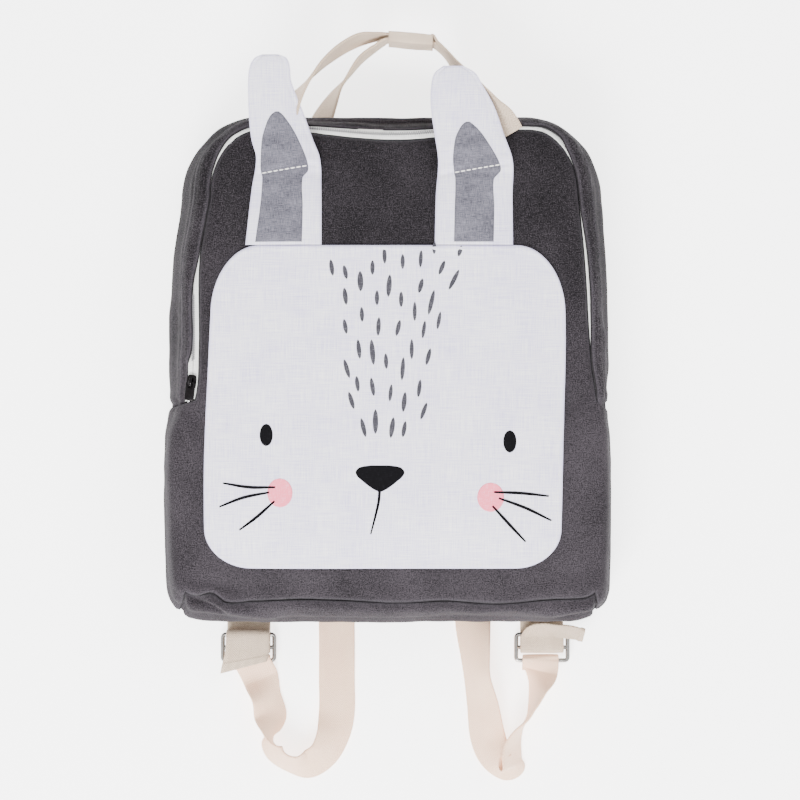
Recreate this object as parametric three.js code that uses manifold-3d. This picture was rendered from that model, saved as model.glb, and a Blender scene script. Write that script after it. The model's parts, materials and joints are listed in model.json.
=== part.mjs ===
import * as THREE from 'three';
import Module from 'manifold-3d';
import { mergeVertices } from 'three/addons/utils/BufferGeometryUtils.js';

// A kids' canvas backpack with a rabbit's face, empty and lying on its back on a floor.
// Millimetres. +X is to the right as the face is seen, +Y towards the ears, +Z out of the face.
// The origin is on the floor, under the middle of everything.

// The bag's body
const panelHalf = 144.5;      // front panel, middle to side ridge, at its widest
const panelBottom = -126.5;   // bottom seam
const panelHeight = 315;      // bottom seam to top seam at the corners
const topDip = 7;             // how far the top seam sags between the handle's ends
const flareBottom = 17.5;     // how far the walls bulge past the front seam
const flareTop = 11.5;
const seamHeight = 60;        // front seam above the floor, slumped
const crown = 13;             // how far the front panel puffs above its seam
const cloth = 1.6;            // canvas wall
const gap = 0.35;             // clearance between neighbouring pieces

// The zip
const zipWidth = 7;           // both tapes together
const tapeThick = 0.8;
const coilWidth = 2.4;
const coilHeight = 1.4;
const sliderLength = 9.4;
const sliderWidth = 6.6;
const sliderThick = 1.6;
const bridgeWidth = 2.2;
const bridgeHeight = 3.4;
const pullLength = 12.5;
const pullWidth = 6.4;
const pullThick = 1.2;
const pullDroop = 0.1;        // radians that the lying pull slopes down from its hinge

// The face
const faceClear = 2.5;        // from its side to the zip's seam, where that is nearest
const faceMiddle = -1.8;
const faceDrop = 78.5;        // from the top seam down to it
const faceFoot = 21.5;        // from the bottom seam up to it
const faceThick = 1;
const faceGap = 0.7;          // the face panel's height over the faceted front panel
const earLength = 126;
const earHalf = 26;
const earThick = 3.2;
const earHem = 1.1;
const earRise = 7;            // how far an ear's free end lifts
const innerThick = 0.9;
const innerGap = 0.8;         // the grey patch's height over the faceted ear

// Webbing
const strapWidth = 25;
const strapThick = 1.8;
const strapDrop = 129;        // from the bag's bottom seam to the lowest edge of the loops
const tabWidth = 30;
const tabThick = 1.5;
const tabReach = 19;          // from the back's bottom seam to the adjuster's first bar
const tabTuck = 18;           // how far the lower webbing lies under the bag
const tabFade = 22;           // and how much further it lifts the bag's back
const barWidth = 3;
const barThick = 2.4;
const slotWidth = 6;
const adjusterSide = 3.6;
const handleWidth = 25;
const handleThick = 1.8;
const handleRise = 62;        // from the top seam to the sleeve's middle
const sleeveLength = 30;
const sleeveHeight = 40;      // the sleeve's middle above the floor

// Mesh steps
const BODY_STEPS = { columns: 20, low: 7, high: 10 };
const COLUMNS = BODY_STEPS.columns;
const ROWS = BODY_STEPS.low + BODY_STEPS.high;
const AROUND = 2 * (COLUMNS + ROWS);
const FACE_STEPS = { columns: 16, low: 5, high: 6 };
const WALL_STEPS = 7;

// Where the side seams run, as shares of panelHalf, by share of the height from seam to seam.
// front is the front seam and outer the widest fold of the wall; the zip ends at the notch.
const NOTCH = 0.425;
const SIDES = [
  { up: 0.00, leftFront: -0.962, rightFront: 0.985, leftOuter: -1.040, rightOuter: 1.044 },
  { up: 0.20, leftFront: -0.984, rightFront: 1.000, leftOuter: -1.056, rightOuter: 1.053 },
  { up: 0.36, leftFront: -0.978, rightFront: 0.998, leftOuter: -1.054, rightOuter: 1.050 },
  { up: 0.425, leftFront: -0.893, rightFront: 0.972, leftOuter: -1.030, rightOuter: 1.032 },
  { up: 0.53, leftFront: -0.872, rightFront: 0.940, leftOuter: -1.028, rightOuter: 1.042 },
  { up: 0.72, leftFront: -0.868, rightFront: 0.912, leftOuter: -1.010, rightOuter: 1.030 },
  { up: 0.85, leftFront: -0.822, rightFront: 0.884, leftOuter: -0.968, rightOuter: 1.004 },
  { up: 1.00, leftFront: -0.780, rightFront: 0.850, leftOuter: -0.940, rightOuter: 0.980 },
];
// Corner sizes at the front seam and at the widest fold
const CORNERS = {
  front: { wide: 34, tall: 45, wideLow: 14, tallLow: 13 },
  outer: { wide: 52, tall: 57, wideLow: 30, tallLow: 24 },
};
// The wall from the front seam over its folds and down to the back seam:
// out is a share of the flare, up a share of the seam's height.
const WALL = [
  { out: 0.00, up: 1.00 },
  { out: 0.34, up: 0.97 },
  { out: 0.62, up: 0.86 },
  { out: 0.68, up: 0.74 },
  { out: 0.94, up: 0.58 },
  { out: 1.00, up: 0.38 },
  { out: 0.88, up: 0.12 },
  { out: 0.66, up: 0.00 },
  { out: 0.46, up: 0.00 },
];
// Broad dents of the front panel: place and size as shares of the panel, depth as a share of crown.
const DENTS = [
  { across: -0.30, up: 0.93, wide: 0.22, tall: 0.10, deep: 0.16 },
  { across: 0.05, up: 0.94, wide: 0.24, tall: 0.08, deep: 0.22 },
  { across: 0.88, up: 0.46, wide: 0.17, tall: 0.13, deep: 0.24 },
  { across: -0.88, up: 0.43, wide: 0.17, tall: 0.12, deep: 0.22 },
  { across: -0.82, up: 0.05, wide: 0.20, tall: 0.10, deep: 0.34 },
  { across: 0.20, up: 0.08, wide: 0.40, tall: 0.06, deep: 0.12 },
];

// Smooth reading of one column of a table.
function read(rows, key, at, name) {
  let i = rows.findIndex((row) => row[key] >= at);
  if (i < 0) i = rows.length - 1;
  i = Math.max(i, 1);
  const [a, b] = [rows[i - 1], rows[i]];
  const before = rows[Math.max(i - 2, 0)];
  const after = rows[Math.min(i + 1, rows.length - 1)];
  const span = b[key] - a[key];
  const t = THREE.MathUtils.clamp((at - a[key]) / span, 0, 1);
  const slopeA = ((b[name] - before[name]) / (b[key] - before[key])) * span;
  const slopeB = ((after[name] - a[name]) / (after[key] - a[key])) * span;
  const [t2, t3] = [t * t, t * t * t];
  return (2 * t3 - 3 * t2 + 1) * a[name] + (t3 - 2 * t2 + t) * slopeA
    + (3 * t2 - 2 * t3) * b[name] + (t3 - t2) * slopeB;
}

// A smooth step from 0 at a to 1 at b.
const ease = (a, b, v) => THREE.MathUtils.smoothstep((v - a) / (b - a), 0, 1);

// Evenly spaced points along a polyline.
function resample(points, steps) {
  const lengths = [0];
  for (let i = 1; i < points.length; i++) lengths.push(lengths[i - 1] + points[i].distanceTo(points[i - 1]));
  const out = [];
  let k = 1;
  for (let i = 0; i <= steps; i++) {
    const want = (lengths.at(-1) * i) / steps;
    while (k < points.length - 1 && lengths[k] < want) k++;
    const t = (want - lengths[k - 1]) / (lengths[k] - lengths[k - 1]);
    out.push(points[k - 1].clone().lerp(points[k], t));
  }
  return out;
}

// One outline round the bag, anticlockwise from halfway round the lower left corner.
function outline({ bottom, top, dip, corner, left, right, steps = BODY_STEPS }) {
  const height = top - bottom;
  const side = (edge, y) => new THREE.Vector2(edge(THREE.MathUtils.clamp((y - bottom) / height, 0, 1)), y);
  const arc = (edge, sign, upper, from, to) => {
    const wide = upper ? corner.wide : corner.wideLow;
    const tall = upper ? corner.tall : corner.tallLow;
    const cy = upper ? top - tall : bottom + tall;
    const cx = side(edge, cy).x - sign * wide;
    const points = [];
    for (let i = 0; i <= 8; i++) {
      const angle = THREE.MathUtils.degToRad(from + ((to - from) * i) / 8);
      points.push(new THREE.Vector2(cx + wide * Math.cos(angle), cy + tall * Math.sin(angle)));
    }
    return points;
  };
  const climb = (edge, from, to) => {
    const points = [];
    for (let i = 0; i <= 24; i++) points.push(side(edge, THREE.MathUtils.lerp(from, to, i / 24)));
    return points;
  };
  const across = (a, b, sag) => {
    const points = [];
    for (let i = 1; i < 20; i++) {
      const p = a.clone().lerp(b, i / 20);
      p.y -= sag * Math.sin((Math.PI * i) / 20) ** 2;
      points.push(p);
    }
    return points;
  };
  const notch = bottom + NOTCH * height;
  const low = bottom + corner.tallLow;
  const high = top - corner.tall;
  const br = arc(right, 1, false, -90, 0);
  const bl = arc(left, -1, false, 180, 270);
  const tr = arc(right, 1, true, 0, 90);
  const tl = arc(left, -1, true, 90, 180);
  const pieces = [
    [[...bl.slice(4), ...across(bl.at(-1), br[0], 0), ...br.slice(0, 5)], steps.columns],
    [[...br.slice(4), ...climb(right, low, notch).slice(1)], steps.low],
    [[...climb(right, notch, high), ...tr.slice(1, 5)], steps.high],
    [[...tr.slice(4), ...across(tr.at(-1), tl[0], dip), ...tl.slice(0, 5)], steps.columns],
    [[...tl.slice(4), ...climb(left, high, notch).slice(1)], steps.high],
    [[...climb(left, notch, low), ...bl.slice(1, 5)], steps.low],
  ];
  return pieces.flatMap(([points, count]) => resample(points, count).slice(0, -1));
}

const panelTop = panelBottom + panelHeight;
const FRONT = outline({
  bottom: panelBottom, top: panelTop, dip: topDip, corner: CORNERS.front,
  left: (up) => panelHalf * read(SIDES, 'up', up, 'leftFront'),
  right: (up) => panelHalf * read(SIDES, 'up', up, 'rightFront'),
});
const OUTER = outline({
  bottom: panelBottom - flareBottom, top: panelTop + flareTop, dip: 0, corner: CORNERS.outer,
  left: (up) => panelHalf * read(SIDES, 'up', up, 'leftOuter'),
  right: (up) => panelHalf * read(SIDES, 'up', up, 'rightOuter'),
});

// A point of a ring at any share of the way round.
function around(ring, s) {
  const i = Math.floor(s);
  const a = ring[((i % AROUND) + AROUND) % AROUND];
  const b = ring[(((i + 1) % AROUND) + AROUND) % AROUND];
  return a.clone().lerp(b, s - i);
}

// The front panel's height above the floor.
function frontHeight(x, y) {
  const up = (y - panelBottom) / panelHeight;
  const across = x / panelHalf;
  const b = THREE.MathUtils.clamp(2 * up - 1, -1, 1);
  const a = THREE.MathUtils.clamp(across, -1, 1);
  let z = seamHeight + crown * (1 - Math.abs(a) ** 3.2) * (1 - Math.abs(b) ** 4.5);
  for (const dent of DENTS) {
    const r = ((across - dent.across) / dent.wide) ** 2 + ((up - dent.up) / dent.tall) ** 2;
    z -= crown * dent.deep * Math.exp(-r);
  }
  return z;
}

// The straps that pass under the bag, and how far they lift it where they lie.
const seamShare = 0.54;        // the back's bottom seam, as a share of the flare
const seamBottom = panelBottom - seamShare * flareBottom;
const STRAPS = {
  left: { tab: -0.6685 * panelHalf, shift: 2.5, back: -0.249 * panelHalf, anchor: -0.311 * panelHalf },
  right: { tab: 0.737 * panelHalf, shift: -1, back: 0.408 * panelHalf, anchor: 0.332 * panelHalf },
};
const strapTopEnd = panelTop - 6;
function strapX(strap, y) {
  const t = THREE.MathUtils.clamp((y - seamBottom) / (strapTopEnd - seamBottom), 0, 1);
  return THREE.MathUtils.lerp(strap.back, strap.anchor, t);
}
function lift(x, y) {
  let most = 0;
  const step = (2 * panelHalf) / COLUMNS;
  for (const strap of Object.values(STRAPS)) {
    const off = Math.abs(x - strapX(strap, y)) - strapWidth / 2;
    most = Math.max(most, (strapThick + gap) * (1 - ease(step, 1.8 * step, off)));
    const beside = Math.abs(x - strap.tab) - tabWidth / 2;
    const near = 1 - ease(seamBottom + tabTuck, seamBottom + tabTuck + tabFade, y);
    most = Math.max(most, near * (tabThick + gap) * (1 - ease(step, 1.8 * step, beside)));
  }
  return most;
}

// The wall at a share of the way round, as a curve from the front seam to the back seam.
const wallCurves = new Map();
function wallCurve(s) {
  if (!wallCurves.has(s)) {
    const [inner, outer] = [around(FRONT, s), around(OUTER, s)];
    const top = frontHeight(inner.x, inner.y);
    const points = WALL.map(({ out, up }) => {
      const p = inner.clone().lerp(outer, out);
      const z = top * up;
      return new THREE.Vector3(p.x, p.y, z + lift(p.x, p.y) * Math.exp(-z / 8));
    });
    wallCurves.set(s, new THREE.CatmullRomCurve3(points, false, 'centripetal'));
  }
  return wallCurves.get(s);
}
const wallLength = (s) => wallCurve(s).getLength();
function wallPoint(s, down) {
  const p = wallCurve(s).getPointAt(THREE.MathUtils.clamp(down / wallLength(s), 0, 1));
  p.z = Math.max(p.z, 0);
  return p;
}
const besideStep = 0.3;        // how far apart, in steps and in millimetres, its slopes are read
const downStep = 0.8;
function wallNormal(s, down) {
  const d = THREE.MathUtils.clamp(down, 1, wallLength(s) - 1);
  const along = wallPoint(s + besideStep, d).sub(wallPoint(s - besideStep, d));
  const fall = wallPoint(s, d + downStep).sub(wallPoint(s, d - downStep));
  return fall.cross(along).normalize();
}

// A closed solid between two like sheets of points; quads run anticlockwise seen from the high one.
function shell(low, high, quads) {
  const position = [...high, ...low].flatMap((p) => [p.x, p.y, p.z]);
  const n = high.length;
  const index = [];
  const edges = new Map();
  for (const [a, b, c, d] of quads) {
    index.push(a, b, c, a, c, d, n + a, n + c, n + b, n + a, n + d, n + c);
    for (const [i, j] of [[a, b], [b, c], [c, d], [d, a]]) {
      const back = `${j},${i}`;
      if (edges.has(back)) edges.delete(back);
      else edges.set(`${i},${j}`, [i, j]);
    }
  }
  for (const [i, j] of edges.values()) index.push(i, n + i, n + j, i, n + j, j);
  const geometry = new THREE.BufferGeometry();
  geometry.setAttribute('position', new THREE.Float32BufferAttribute(position, 3));
  geometry.setIndex(index);
  geometry.computeVertexNormals();
  return geometry;
}

// Quads of a grid whose points are stored row by row.
function gridQuads(columns, rows, flip = false) {
  const quads = [];
  for (let j = 0; j < rows; j++) {
    for (let i = 0; i < columns; i++) {
      const a = j * (columns + 1) + i;
      const quad = [a, a + 1, a + columns + 2, a + columns + 1];
      quads.push(flip ? quad.reverse() : quad);
    }
  }
  return quads;
}

// Points spread over the inside of a ring, from its own points.
function fillRing(ring, columns, rows) {
  const n = ring.length;
  const points = [];
  const corners = [ring[0], ring[columns], ring[columns + rows], ring[2 * columns + rows]];
  for (let j = 0; j <= rows; j++) {
    for (let i = 0; i <= columns; i++) {
      const [u, v] = [i / columns, j / rows];
      const [bottom, top] = [ring[i], ring[columns + rows + (columns - i)]];
      const [left, right] = [ring[(n - j) % n], ring[columns + j]];
      const p = bottom.clone().multiplyScalar(1 - v).addScaledVector(top, v)
        .addScaledVector(left, 1 - u).addScaledVector(right, u)
        .addScaledVector(corners[0], -(1 - u) * (1 - v)).addScaledVector(corners[1], -u * (1 - v))
        .addScaledVector(corners[2], -u * v).addScaledVector(corners[3], -(1 - u) * v);
      points.push(p);
    }
  }
  return points;
}

// A strip of the wall from one share of the way round to another.
function wallStrip(from, to, steps, downFrom, downTo, across, thick, raise = 0) {
  const [low, high] = [[], []];
  for (let i = 0; i <= steps; i++) {
    const s = THREE.MathUtils.lerp(from, to, i / steps);
    for (let j = 0; j <= across; j++) {
      const down = THREE.MathUtils.lerp(downFrom, downTo(s), j / across);
      const normal = wallNormal(s, down);
      const p = wallPoint(s, down).addScaledVector(normal, raise);
      high.push(p);
      low.push(p.clone().addScaledVector(normal, -thick));
    }
  }
  return shell(low, high, gridQuads(across, steps));
}

// How far round, as a share of a step, one clearance is at a place halfway down the wall.
function stepGap(s) {
  const down = wallLength(s) / 3;
  return gap / wallPoint(s, down).distanceTo(wallPoint(s + 1, down));
}

const rightNotch = COLUMNS + BODY_STEPS.low;
const leftNotch = AROUND - BODY_STEPS.low;

// The front panel turns round the sides below the zip's ends, all in one piece of cloth.
function frontPanel() {
  const flat = fillRing(FRONT, COLUMNS, ROWS);
  const high = flat.map((p) => new THREE.Vector3(p.x, p.y, frontHeight(p.x, p.y)));
  const normals = flat.map((p) => {
    const slopeX = frontHeight(p.x + 1, p.y) - frontHeight(p.x - 1, p.y);
    const slopeY = frontHeight(p.x, p.y + 1) - frontHeight(p.x, p.y - 1);
    return new THREE.Vector3(-slopeX / 2, -slopeY / 2, 1).normalize();
  });
  const quads = gridQuads(COLUMNS, ROWS);
  const edgeOf = (s) => {
    if (s <= COLUMNS) return s;
    if (s <= COLUMNS + ROWS) return (s - COLUMNS) * (COLUMNS + 1) + COLUMNS;
    if (s <= 2 * COLUMNS + ROWS) return ROWS * (COLUMNS + 1) + (2 * COLUMNS + ROWS - s);
    return (AROUND - s) * (COLUMNS + 1);
  };
  for (let s = 0; s < AROUND; s++) normals[edgeOf(s)] = wallNormal(s, 0);
  for (const [from, to] of [[COLUMNS, rightNotch], [leftNotch, AROUND]]) {
    let last = null;
    for (let s = from; s <= to; s++) {
      const at = s === from ? s + stepGap(s) : s === to ? s - stepGap(s) : s;
      const line = [edgeOf(s % AROUND)];
      for (let k = 1; k <= WALL_STEPS; k++) {
        const down = ((wallLength(at) - gap) * k) / WALL_STEPS;
        line.push(high.length);
        high.push(wallPoint(at, down));
        normals.push(wallNormal(at, down));
      }
      for (let k = 0; last && k < WALL_STEPS; k++) quads.push([last[k], last[k + 1], line[k + 1], line[k]]);
      last = line;
    }
  }
  const low = high.map((p, i) => p.clone().addScaledVector(normals[i], -cloth));
  return shell(low, high, quads);
}

function backPanel() {
  const ring = [];
  for (let s = 0; s < AROUND; s++) ring.push(wallPoint(s, wallLength(s)));
  const high = fillRing(ring.map((p) => new THREE.Vector2(p.x, p.y)), COLUMNS, ROWS)
    .map((p) => new THREE.Vector3(p.x, p.y, lift(p.x, p.y)));
  const low = high.map((p) => p.clone().add(new THREE.Vector3(0, 0, cloth)));
  return shell(low, high, gridQuads(COLUMNS, ROWS, true));
}

const bottomPanel = () => wallStrip(
  stepGap(0), COLUMNS - stepGap(COLUMNS), COLUMNS, gap, (s) => wallLength(s) - gap, WALL_STEPS, cloth,
);
const zipBand = () => wallStrip(
  rightNotch + stepGap(rightNotch), leftNotch - stepGap(leftNotch), leftNotch - rightNotch,
  gap + zipWidth + gap, (s) => wallLength(s) - gap, WALL_STEPS, cloth,
);
const tapeMiddle = gap + zipWidth / 2;
const tapeSink = 0.3;          // how far the tapes lie below the wall's outside
const zipTape = (from, to) => wallStrip(
  rightNotch + 2 * stepGap(rightNotch), leftNotch - 2 * stepGap(leftNotch), leftNotch - rightNotch,
  from, () => to, 1, tapeThick, -tapeSink,
);

// A section swept along points, each with its sideways and upward direction.
function sweep(points, sides, ups, section) {
  const n = section.length;
  const position = [];
  points.forEach((p, i) => {
    for (const [across, over] of section) {
      const q = p.clone().addScaledVector(sides[i], across).addScaledVector(ups[i], over);
      position.push(q.x, q.y, q.z);
    }
  });
  const index = [];
  for (let i = 0; i + 1 < points.length; i++) {
    for (let k = 0; k < n; k++) {
      const [a, b] = [i * n + k, i * n + ((k + 1) % n)];
      index.push(a, b, b + n, a, b + n, a + n);
    }
  }
  const last = (points.length - 1) * n;
  for (let k = 1; k + 1 < n; k++) index.push(0, k + 1, k, last, last + k, last + k + 1);
  const geometry = new THREE.BufferGeometry();
  geometry.setAttribute('position', new THREE.Float32BufferAttribute(position, 3));
  geometry.setIndex(index);
  geometry.computeVertexNormals();
  return geometry;
}

// Webbing through stations: at is a point of its middle line, side the way its width lies there,
// and share how much of its width is left where it is bunched. It never goes below the floor.
function webbing(stations, width, thick, steps) {
  const line = new THREE.CatmullRomCurve3(stations.map(({ at }) => new THREE.Vector3(...at)), false, 'centripetal');
  const turn = new THREE.CatmullRomCurve3(stations.map(({ side }) => new THREE.Vector3(...side)), false, 'centripetal');
  const bunch = new THREE.CatmullRomCurve3(
    stations.map(({ share = 1 }) => new THREE.Vector3(share, 0, 0)), false, 'catmullrom',
  );
  const [points, sides, ups] = [[], [], []];
  for (let i = 0; i <= steps; i++) {
    const t = i / steps;
    const along = line.getTangent(t);
    const side = turn.getPoint(t);
    side.addScaledVector(along, -side.dot(along)).normalize();
    const up = side.clone().cross(along);
    side.multiplyScalar(bunch.getPoint(t).x);
    const point = line.getPoint(t);
    point.z = Math.max(point.z, (Math.abs(side.z) * width + Math.abs(up.z) * thick) / 2);
    points.push(point);
    sides.push(side);
    ups.push(up);
  }
  const [w, h] = [width / 2, thick / 2];
  return sweep(points, sides, ups, [[-w, -h], [-w, h], [w, h], [w, -h]]);
}

// The coil stands on the two tapes and ends at the slider.
const sliderAt = leftNotch - 0.75;
function zipCoil() {
  const [points, sides, ups] = [[], [], []];
  const from = rightNotch + 4 * stepGap(rightNotch);
  const to = sliderAt - (sliderLength / 2 + 2 * gap) * (stepGap(sliderAt) / gap);
  const steps = leftNotch - rightNotch;
  for (let i = 0; i <= steps; i++) {
    const s = THREE.MathUtils.lerp(from, to, i / steps);
    const up = wallNormal(s, tapeMiddle);
    const along = wallPoint(s + 0.2, tapeMiddle).sub(wallPoint(s - 0.2, tapeMiddle)).normalize();
    points.push(wallPoint(s, tapeMiddle).addScaledVector(up, gap - tapeSink));
    ups.push(up);
    sides.push(along.cross(up).normalize());
  }
  const w = coilWidth / 2;
  return sweep(points, sides, ups, [[-w, 0], [-0.6 * w, coilHeight], [0.6 * w, coilHeight], [w, 0]]);
}

// Solid joins and cuts
const wasm = await Module();
wasm.setup();
function solid(geometry, matrix = new THREE.Matrix4()) {
  const bare = geometry.clone().applyMatrix4(matrix);
  for (const name of Object.keys(bare.attributes)) if (name !== 'position') bare.deleteAttribute(name);
  const merged = mergeVertices(bare, 1e-4);
  return new wasm.Manifold(new wasm.Mesh({
    numProp: 3,
    vertProperties: new Float32Array(merged.attributes.position.array),
    triVerts: new Uint32Array(merged.index.array),
  }));
}
function geometryOf(manifold) {
  const mesh = manifold.getMesh();
  const geometry = new THREE.BufferGeometry();
  geometry.setAttribute('position', new THREE.BufferAttribute(mesh.vertProperties, 3));
  geometry.setIndex(new THREE.BufferAttribute(mesh.triVerts, 1));
  geometry.computeVertexNormals();
  return geometry;
}
const block = (x, y, z, at) => solid(
  new THREE.BoxGeometry(x, y, z), new THREE.Matrix4().makeTranslation(...at),
);

// The slider in its own frame: X across the zip, Y towards the pull, Z up from the cloth.
function zipSlider() {
  const body = block(sliderWidth, sliderLength, sliderThick, [0, 0, sliderThick / 2]);
  const nose = block(0.7 * sliderWidth, 0.3 * sliderLength, 2 * sliderThick, [0, 0.45 * sliderLength, 0]);
  const arch = block(bridgeWidth, 0.62 * sliderLength, bridgeHeight, [0, 0, sliderThick + bridgeHeight / 2 - 0.1]);
  const window = block(2 * bridgeWidth, 0.36 * sliderLength, bridgeHeight - 1, [0, 0, sliderThick + bridgeHeight / 2 - 0.6]);
  return geometryOf(body.subtract(nose).add(arch).subtract(window));
}

// The pull's eye goes round the bridge; its hinge line is the middle of the eye's far bar.
function roundedShape(x0, y0, x1, y1, r) {
  const shape = new THREE.Shape();
  shape.moveTo(x0 + r, y0);
  shape.absarc(x1 - r, y0 + r, r, -Math.PI / 2, 0);
  shape.absarc(x1 - r, y1 - r, r, 0, Math.PI / 2);
  shape.absarc(x0 + r, y1 - r, r, Math.PI / 2, Math.PI);
  shape.absarc(x0 + r, y0 + r, r, Math.PI, 1.5 * Math.PI);
  return shape;
}
function slab(shape, thick) {
  const geometry = new THREE.ExtrudeGeometry(shape, { depth: thick, bevelEnabled: false, curveSegments: 2 });
  return geometry.translate(0, 0, -thick / 2);
}
function zipPull() {
  const half = pullThick / 2;
  const eyeLength = 0.36 * sliderLength;
  const shape = roundedShape(-pullWidth / 2, -half, pullWidth / 2, pullLength, 1.1 * half);
  const eye = bridgeWidth / 2 + gap;
  shape.holes.push(roundedShape(-eye, half, eye, half + eyeLength, 0.3));
  return slab(shape, pullThick);
}

// The face panel, a rounded patch on the front panel.
const FACE_SIDES = [
  { up: 0.00, left: -1.000, right: 0.972 },
  { up: 0.35, left: -1.000, right: 0.985 },
  { up: 0.70, left: -0.972, right: 1.000 },
  { up: 1.00, left: -0.940, right: 0.985 },
];
const faceTop = panelTop - faceDrop;
const faceHeight = panelHeight - faceDrop - faceFoot;
const faceBeside = read(SIDES, 'up', (faceTop - panelBottom) / panelHeight, 'leftFront');
const faceHalf = faceMiddle - faceClear - panelHalf * faceBeside;
function facePanel() {
  const ring = outline({
    bottom: faceTop - faceHeight, top: faceTop, dip: 0,
    corner: { wide: 0.27 * faceHalf, tall: 0.38 * faceHalf, wideLow: 0.26 * faceHalf, tallLow: 0.22 * faceHalf },
    left: (up) => faceMiddle + faceHalf * read(FACE_SIDES, 'up', up, 'left'),
    right: (up) => faceMiddle + faceHalf * read(FACE_SIDES, 'up', up, 'right'),
    steps: FACE_STEPS,
  });
  const [columns, rows] = [FACE_STEPS.columns, FACE_STEPS.low + FACE_STEPS.high];
  const flat = fillRing(ring, columns, rows);
  const low = flat.map((p) => new THREE.Vector3(p.x, p.y, frontHeight(p.x, p.y) + faceGap));
  const high = low.map((p) => p.clone().add(new THREE.Vector3(0, 0, faceThick)));
  return shell(low, high, gridQuads(columns, rows));
}

// Ears: edges as shares of earHalf from the ear's middle, up its length; inner is the grey patch.
const EARS = {
  left: {
    middle: -0.5685 * faceHalf,
    tack: 0.38,
    rows: [
      { up: 0.00, left: -1.00, right: 0.95 },
      { up: 0.30, left: -0.84, right: 0.94 },
      { up: 0.46, left: -0.73, right: 0.90 },
      { up: 0.56, left: -0.85, right: 0.72 },
      { up: 0.70, left: -0.92, right: 0.48 },
      { up: 0.86, left: -0.93, right: 0.18 },
      { up: 0.94, left: -0.88, right: 0.14 },
      { up: 0.985, left: -0.74, right: 0.04 },
      { up: 1.00, left: -0.56, right: -0.16 },
    ],
    inner: [
      { up: 0.015, left: -0.72, right: 0.46 },
      { up: 0.20, left: -0.58, right: 0.52 },
      { up: 0.38, left: -0.50, right: 0.62 },
      { up: 0.48, left: -0.55, right: 0.44 },
      { up: 0.60, left: -0.50, right: 0.22 },
      { up: 0.67, left: -0.36, right: 0.02 },
      { up: 0.70, left: -0.26, right: -0.14 },
    ],
  },
  right: {
    middle: 0.4755 * faceHalf,
    tack: 0.38,
    rows: [
      { up: 0.00, left: -1.00, right: 1.00 },
      { up: 0.26, left: -0.97, right: 0.99 },
      { up: 0.44, left: -0.91, right: 1.00 },
      { up: 0.58, left: -1.00, right: 0.78 },
      { up: 0.73, left: -1.10, right: 0.52 },
      { up: 0.84, left: -1.09, right: 0.22 },
      { up: 0.905, left: -1.00, right: 0.02 },
      { up: 0.94, left: -0.78, right: -0.28 },
    ],
    inner: [
      { up: 0.015, left: -0.50, right: 0.72 },
      { up: 0.20, left: -0.50, right: 0.70 },
      { up: 0.38, left: -0.49, right: 0.70 },
      { up: 0.50, left: -0.49, right: 0.46 },
      { up: 0.58, left: -0.42, right: 0.24 },
      { up: 0.63, left: -0.28, right: 0.06 },
      { up: 0.65, left: -0.20, right: -0.04 },
    ],
  },
};
const earFoot = faceTop + gap;
function earUnder(ear, x, y) {
  const tackY = earFoot + ear.tack * earLength;
  const flat = frontHeight(x, Math.min(y, tackY)) + gap;
  const t = Math.max(0, (y - tackY) / (earLength * (1 - ear.tack)));
  return flat + earRise * t ** 1.4 + 1.4 * Math.sin(Math.PI * Math.min(1, 3 * t));
}
function earOver(ear, x, y) {
  const up = (y - earFoot) / earLength;
  const [left, right] = ['left', 'right'].map((name) => ear.middle + earHalf * read(ear.rows, 'up', up, name));
  const u = THREE.MathUtils.clamp((x - left) / (right - left), 0, 1);
  const full = Math.sin(Math.PI * u) ** 0.6;
  const ends = THREE.MathUtils.clamp((ear.rows.at(-1).up - up) / 0.08, 0, 1) ** 0.5;
  const tacked = 1 - 0.4 * Math.exp(-(((up - ear.tack) / 0.07) ** 2));
  return earUnder(ear, x, y) + earHem + (earThick - earHem) * full * ends * tacked;
}
function earPiece(ear, rows, columns, steps, under, over) {
  const [low, high] = [[], []];
  const [from, to] = [rows[0].up, rows.at(-1).up];
  for (let j = 0; j <= steps; j++) {
    const t = j / steps;
    const up = THREE.MathUtils.lerp(from, to, t + 0.12 * Math.sin(Math.PI * t) * t);
    const y = earFoot + up * earLength;
    const [left, right] = ['left', 'right'].map((name) => ear.middle + earHalf * read(rows, 'up', up, name));
    for (let i = 0; i <= columns; i++) {
      const x = THREE.MathUtils.lerp(left, right, i / columns);
      low.push(new THREE.Vector3(x, y, under(x, y)));
      high.push(new THREE.Vector3(x, y, over(x, y)));
    }
  }
  return shell(low, high, gridQuads(columns, steps));
}
const earFlap = (ear) => earPiece(
  ear, ear.rows, 6, 15, (x, y) => earUnder(ear, x, y), (x, y) => earOver(ear, x, y),
);
const earInner = (ear) => earPiece(
  ear, ear.inner, 4, 12,
  (x, y) => earOver(ear, x, y) + innerGap, (x, y) => earOver(ear, x, y) + innerGap + innerThick,
);

// Adjusters: a flat ring with three bars, lying on the strap just below the bag.
const barPitch = barWidth + slotWidth;
const adjusterLength = 2 * barPitch + barWidth;
const adjusterWidth = tabWidth + 1.5 + 2 * adjusterSide;
const barHeight = tabThick + gap + barThick / 2 + strapThick + 0.3;
const firstBar = seamBottom - tabReach;
function adjuster() {
  const [w, l] = [adjusterWidth / 2, adjusterLength / 2];
  const shape = roundedShape(-w, -l, w, l, 2.5);
  for (const side of [-1, 1]) {
    const y = side * barPitch / 2;
    shape.holes.push(roundedShape(adjusterSide - w, y - slotWidth / 2, w - adjusterSide, y + slotWidth / 2, 0.8));
  }
  return slab(shape, barThick);
}

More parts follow.
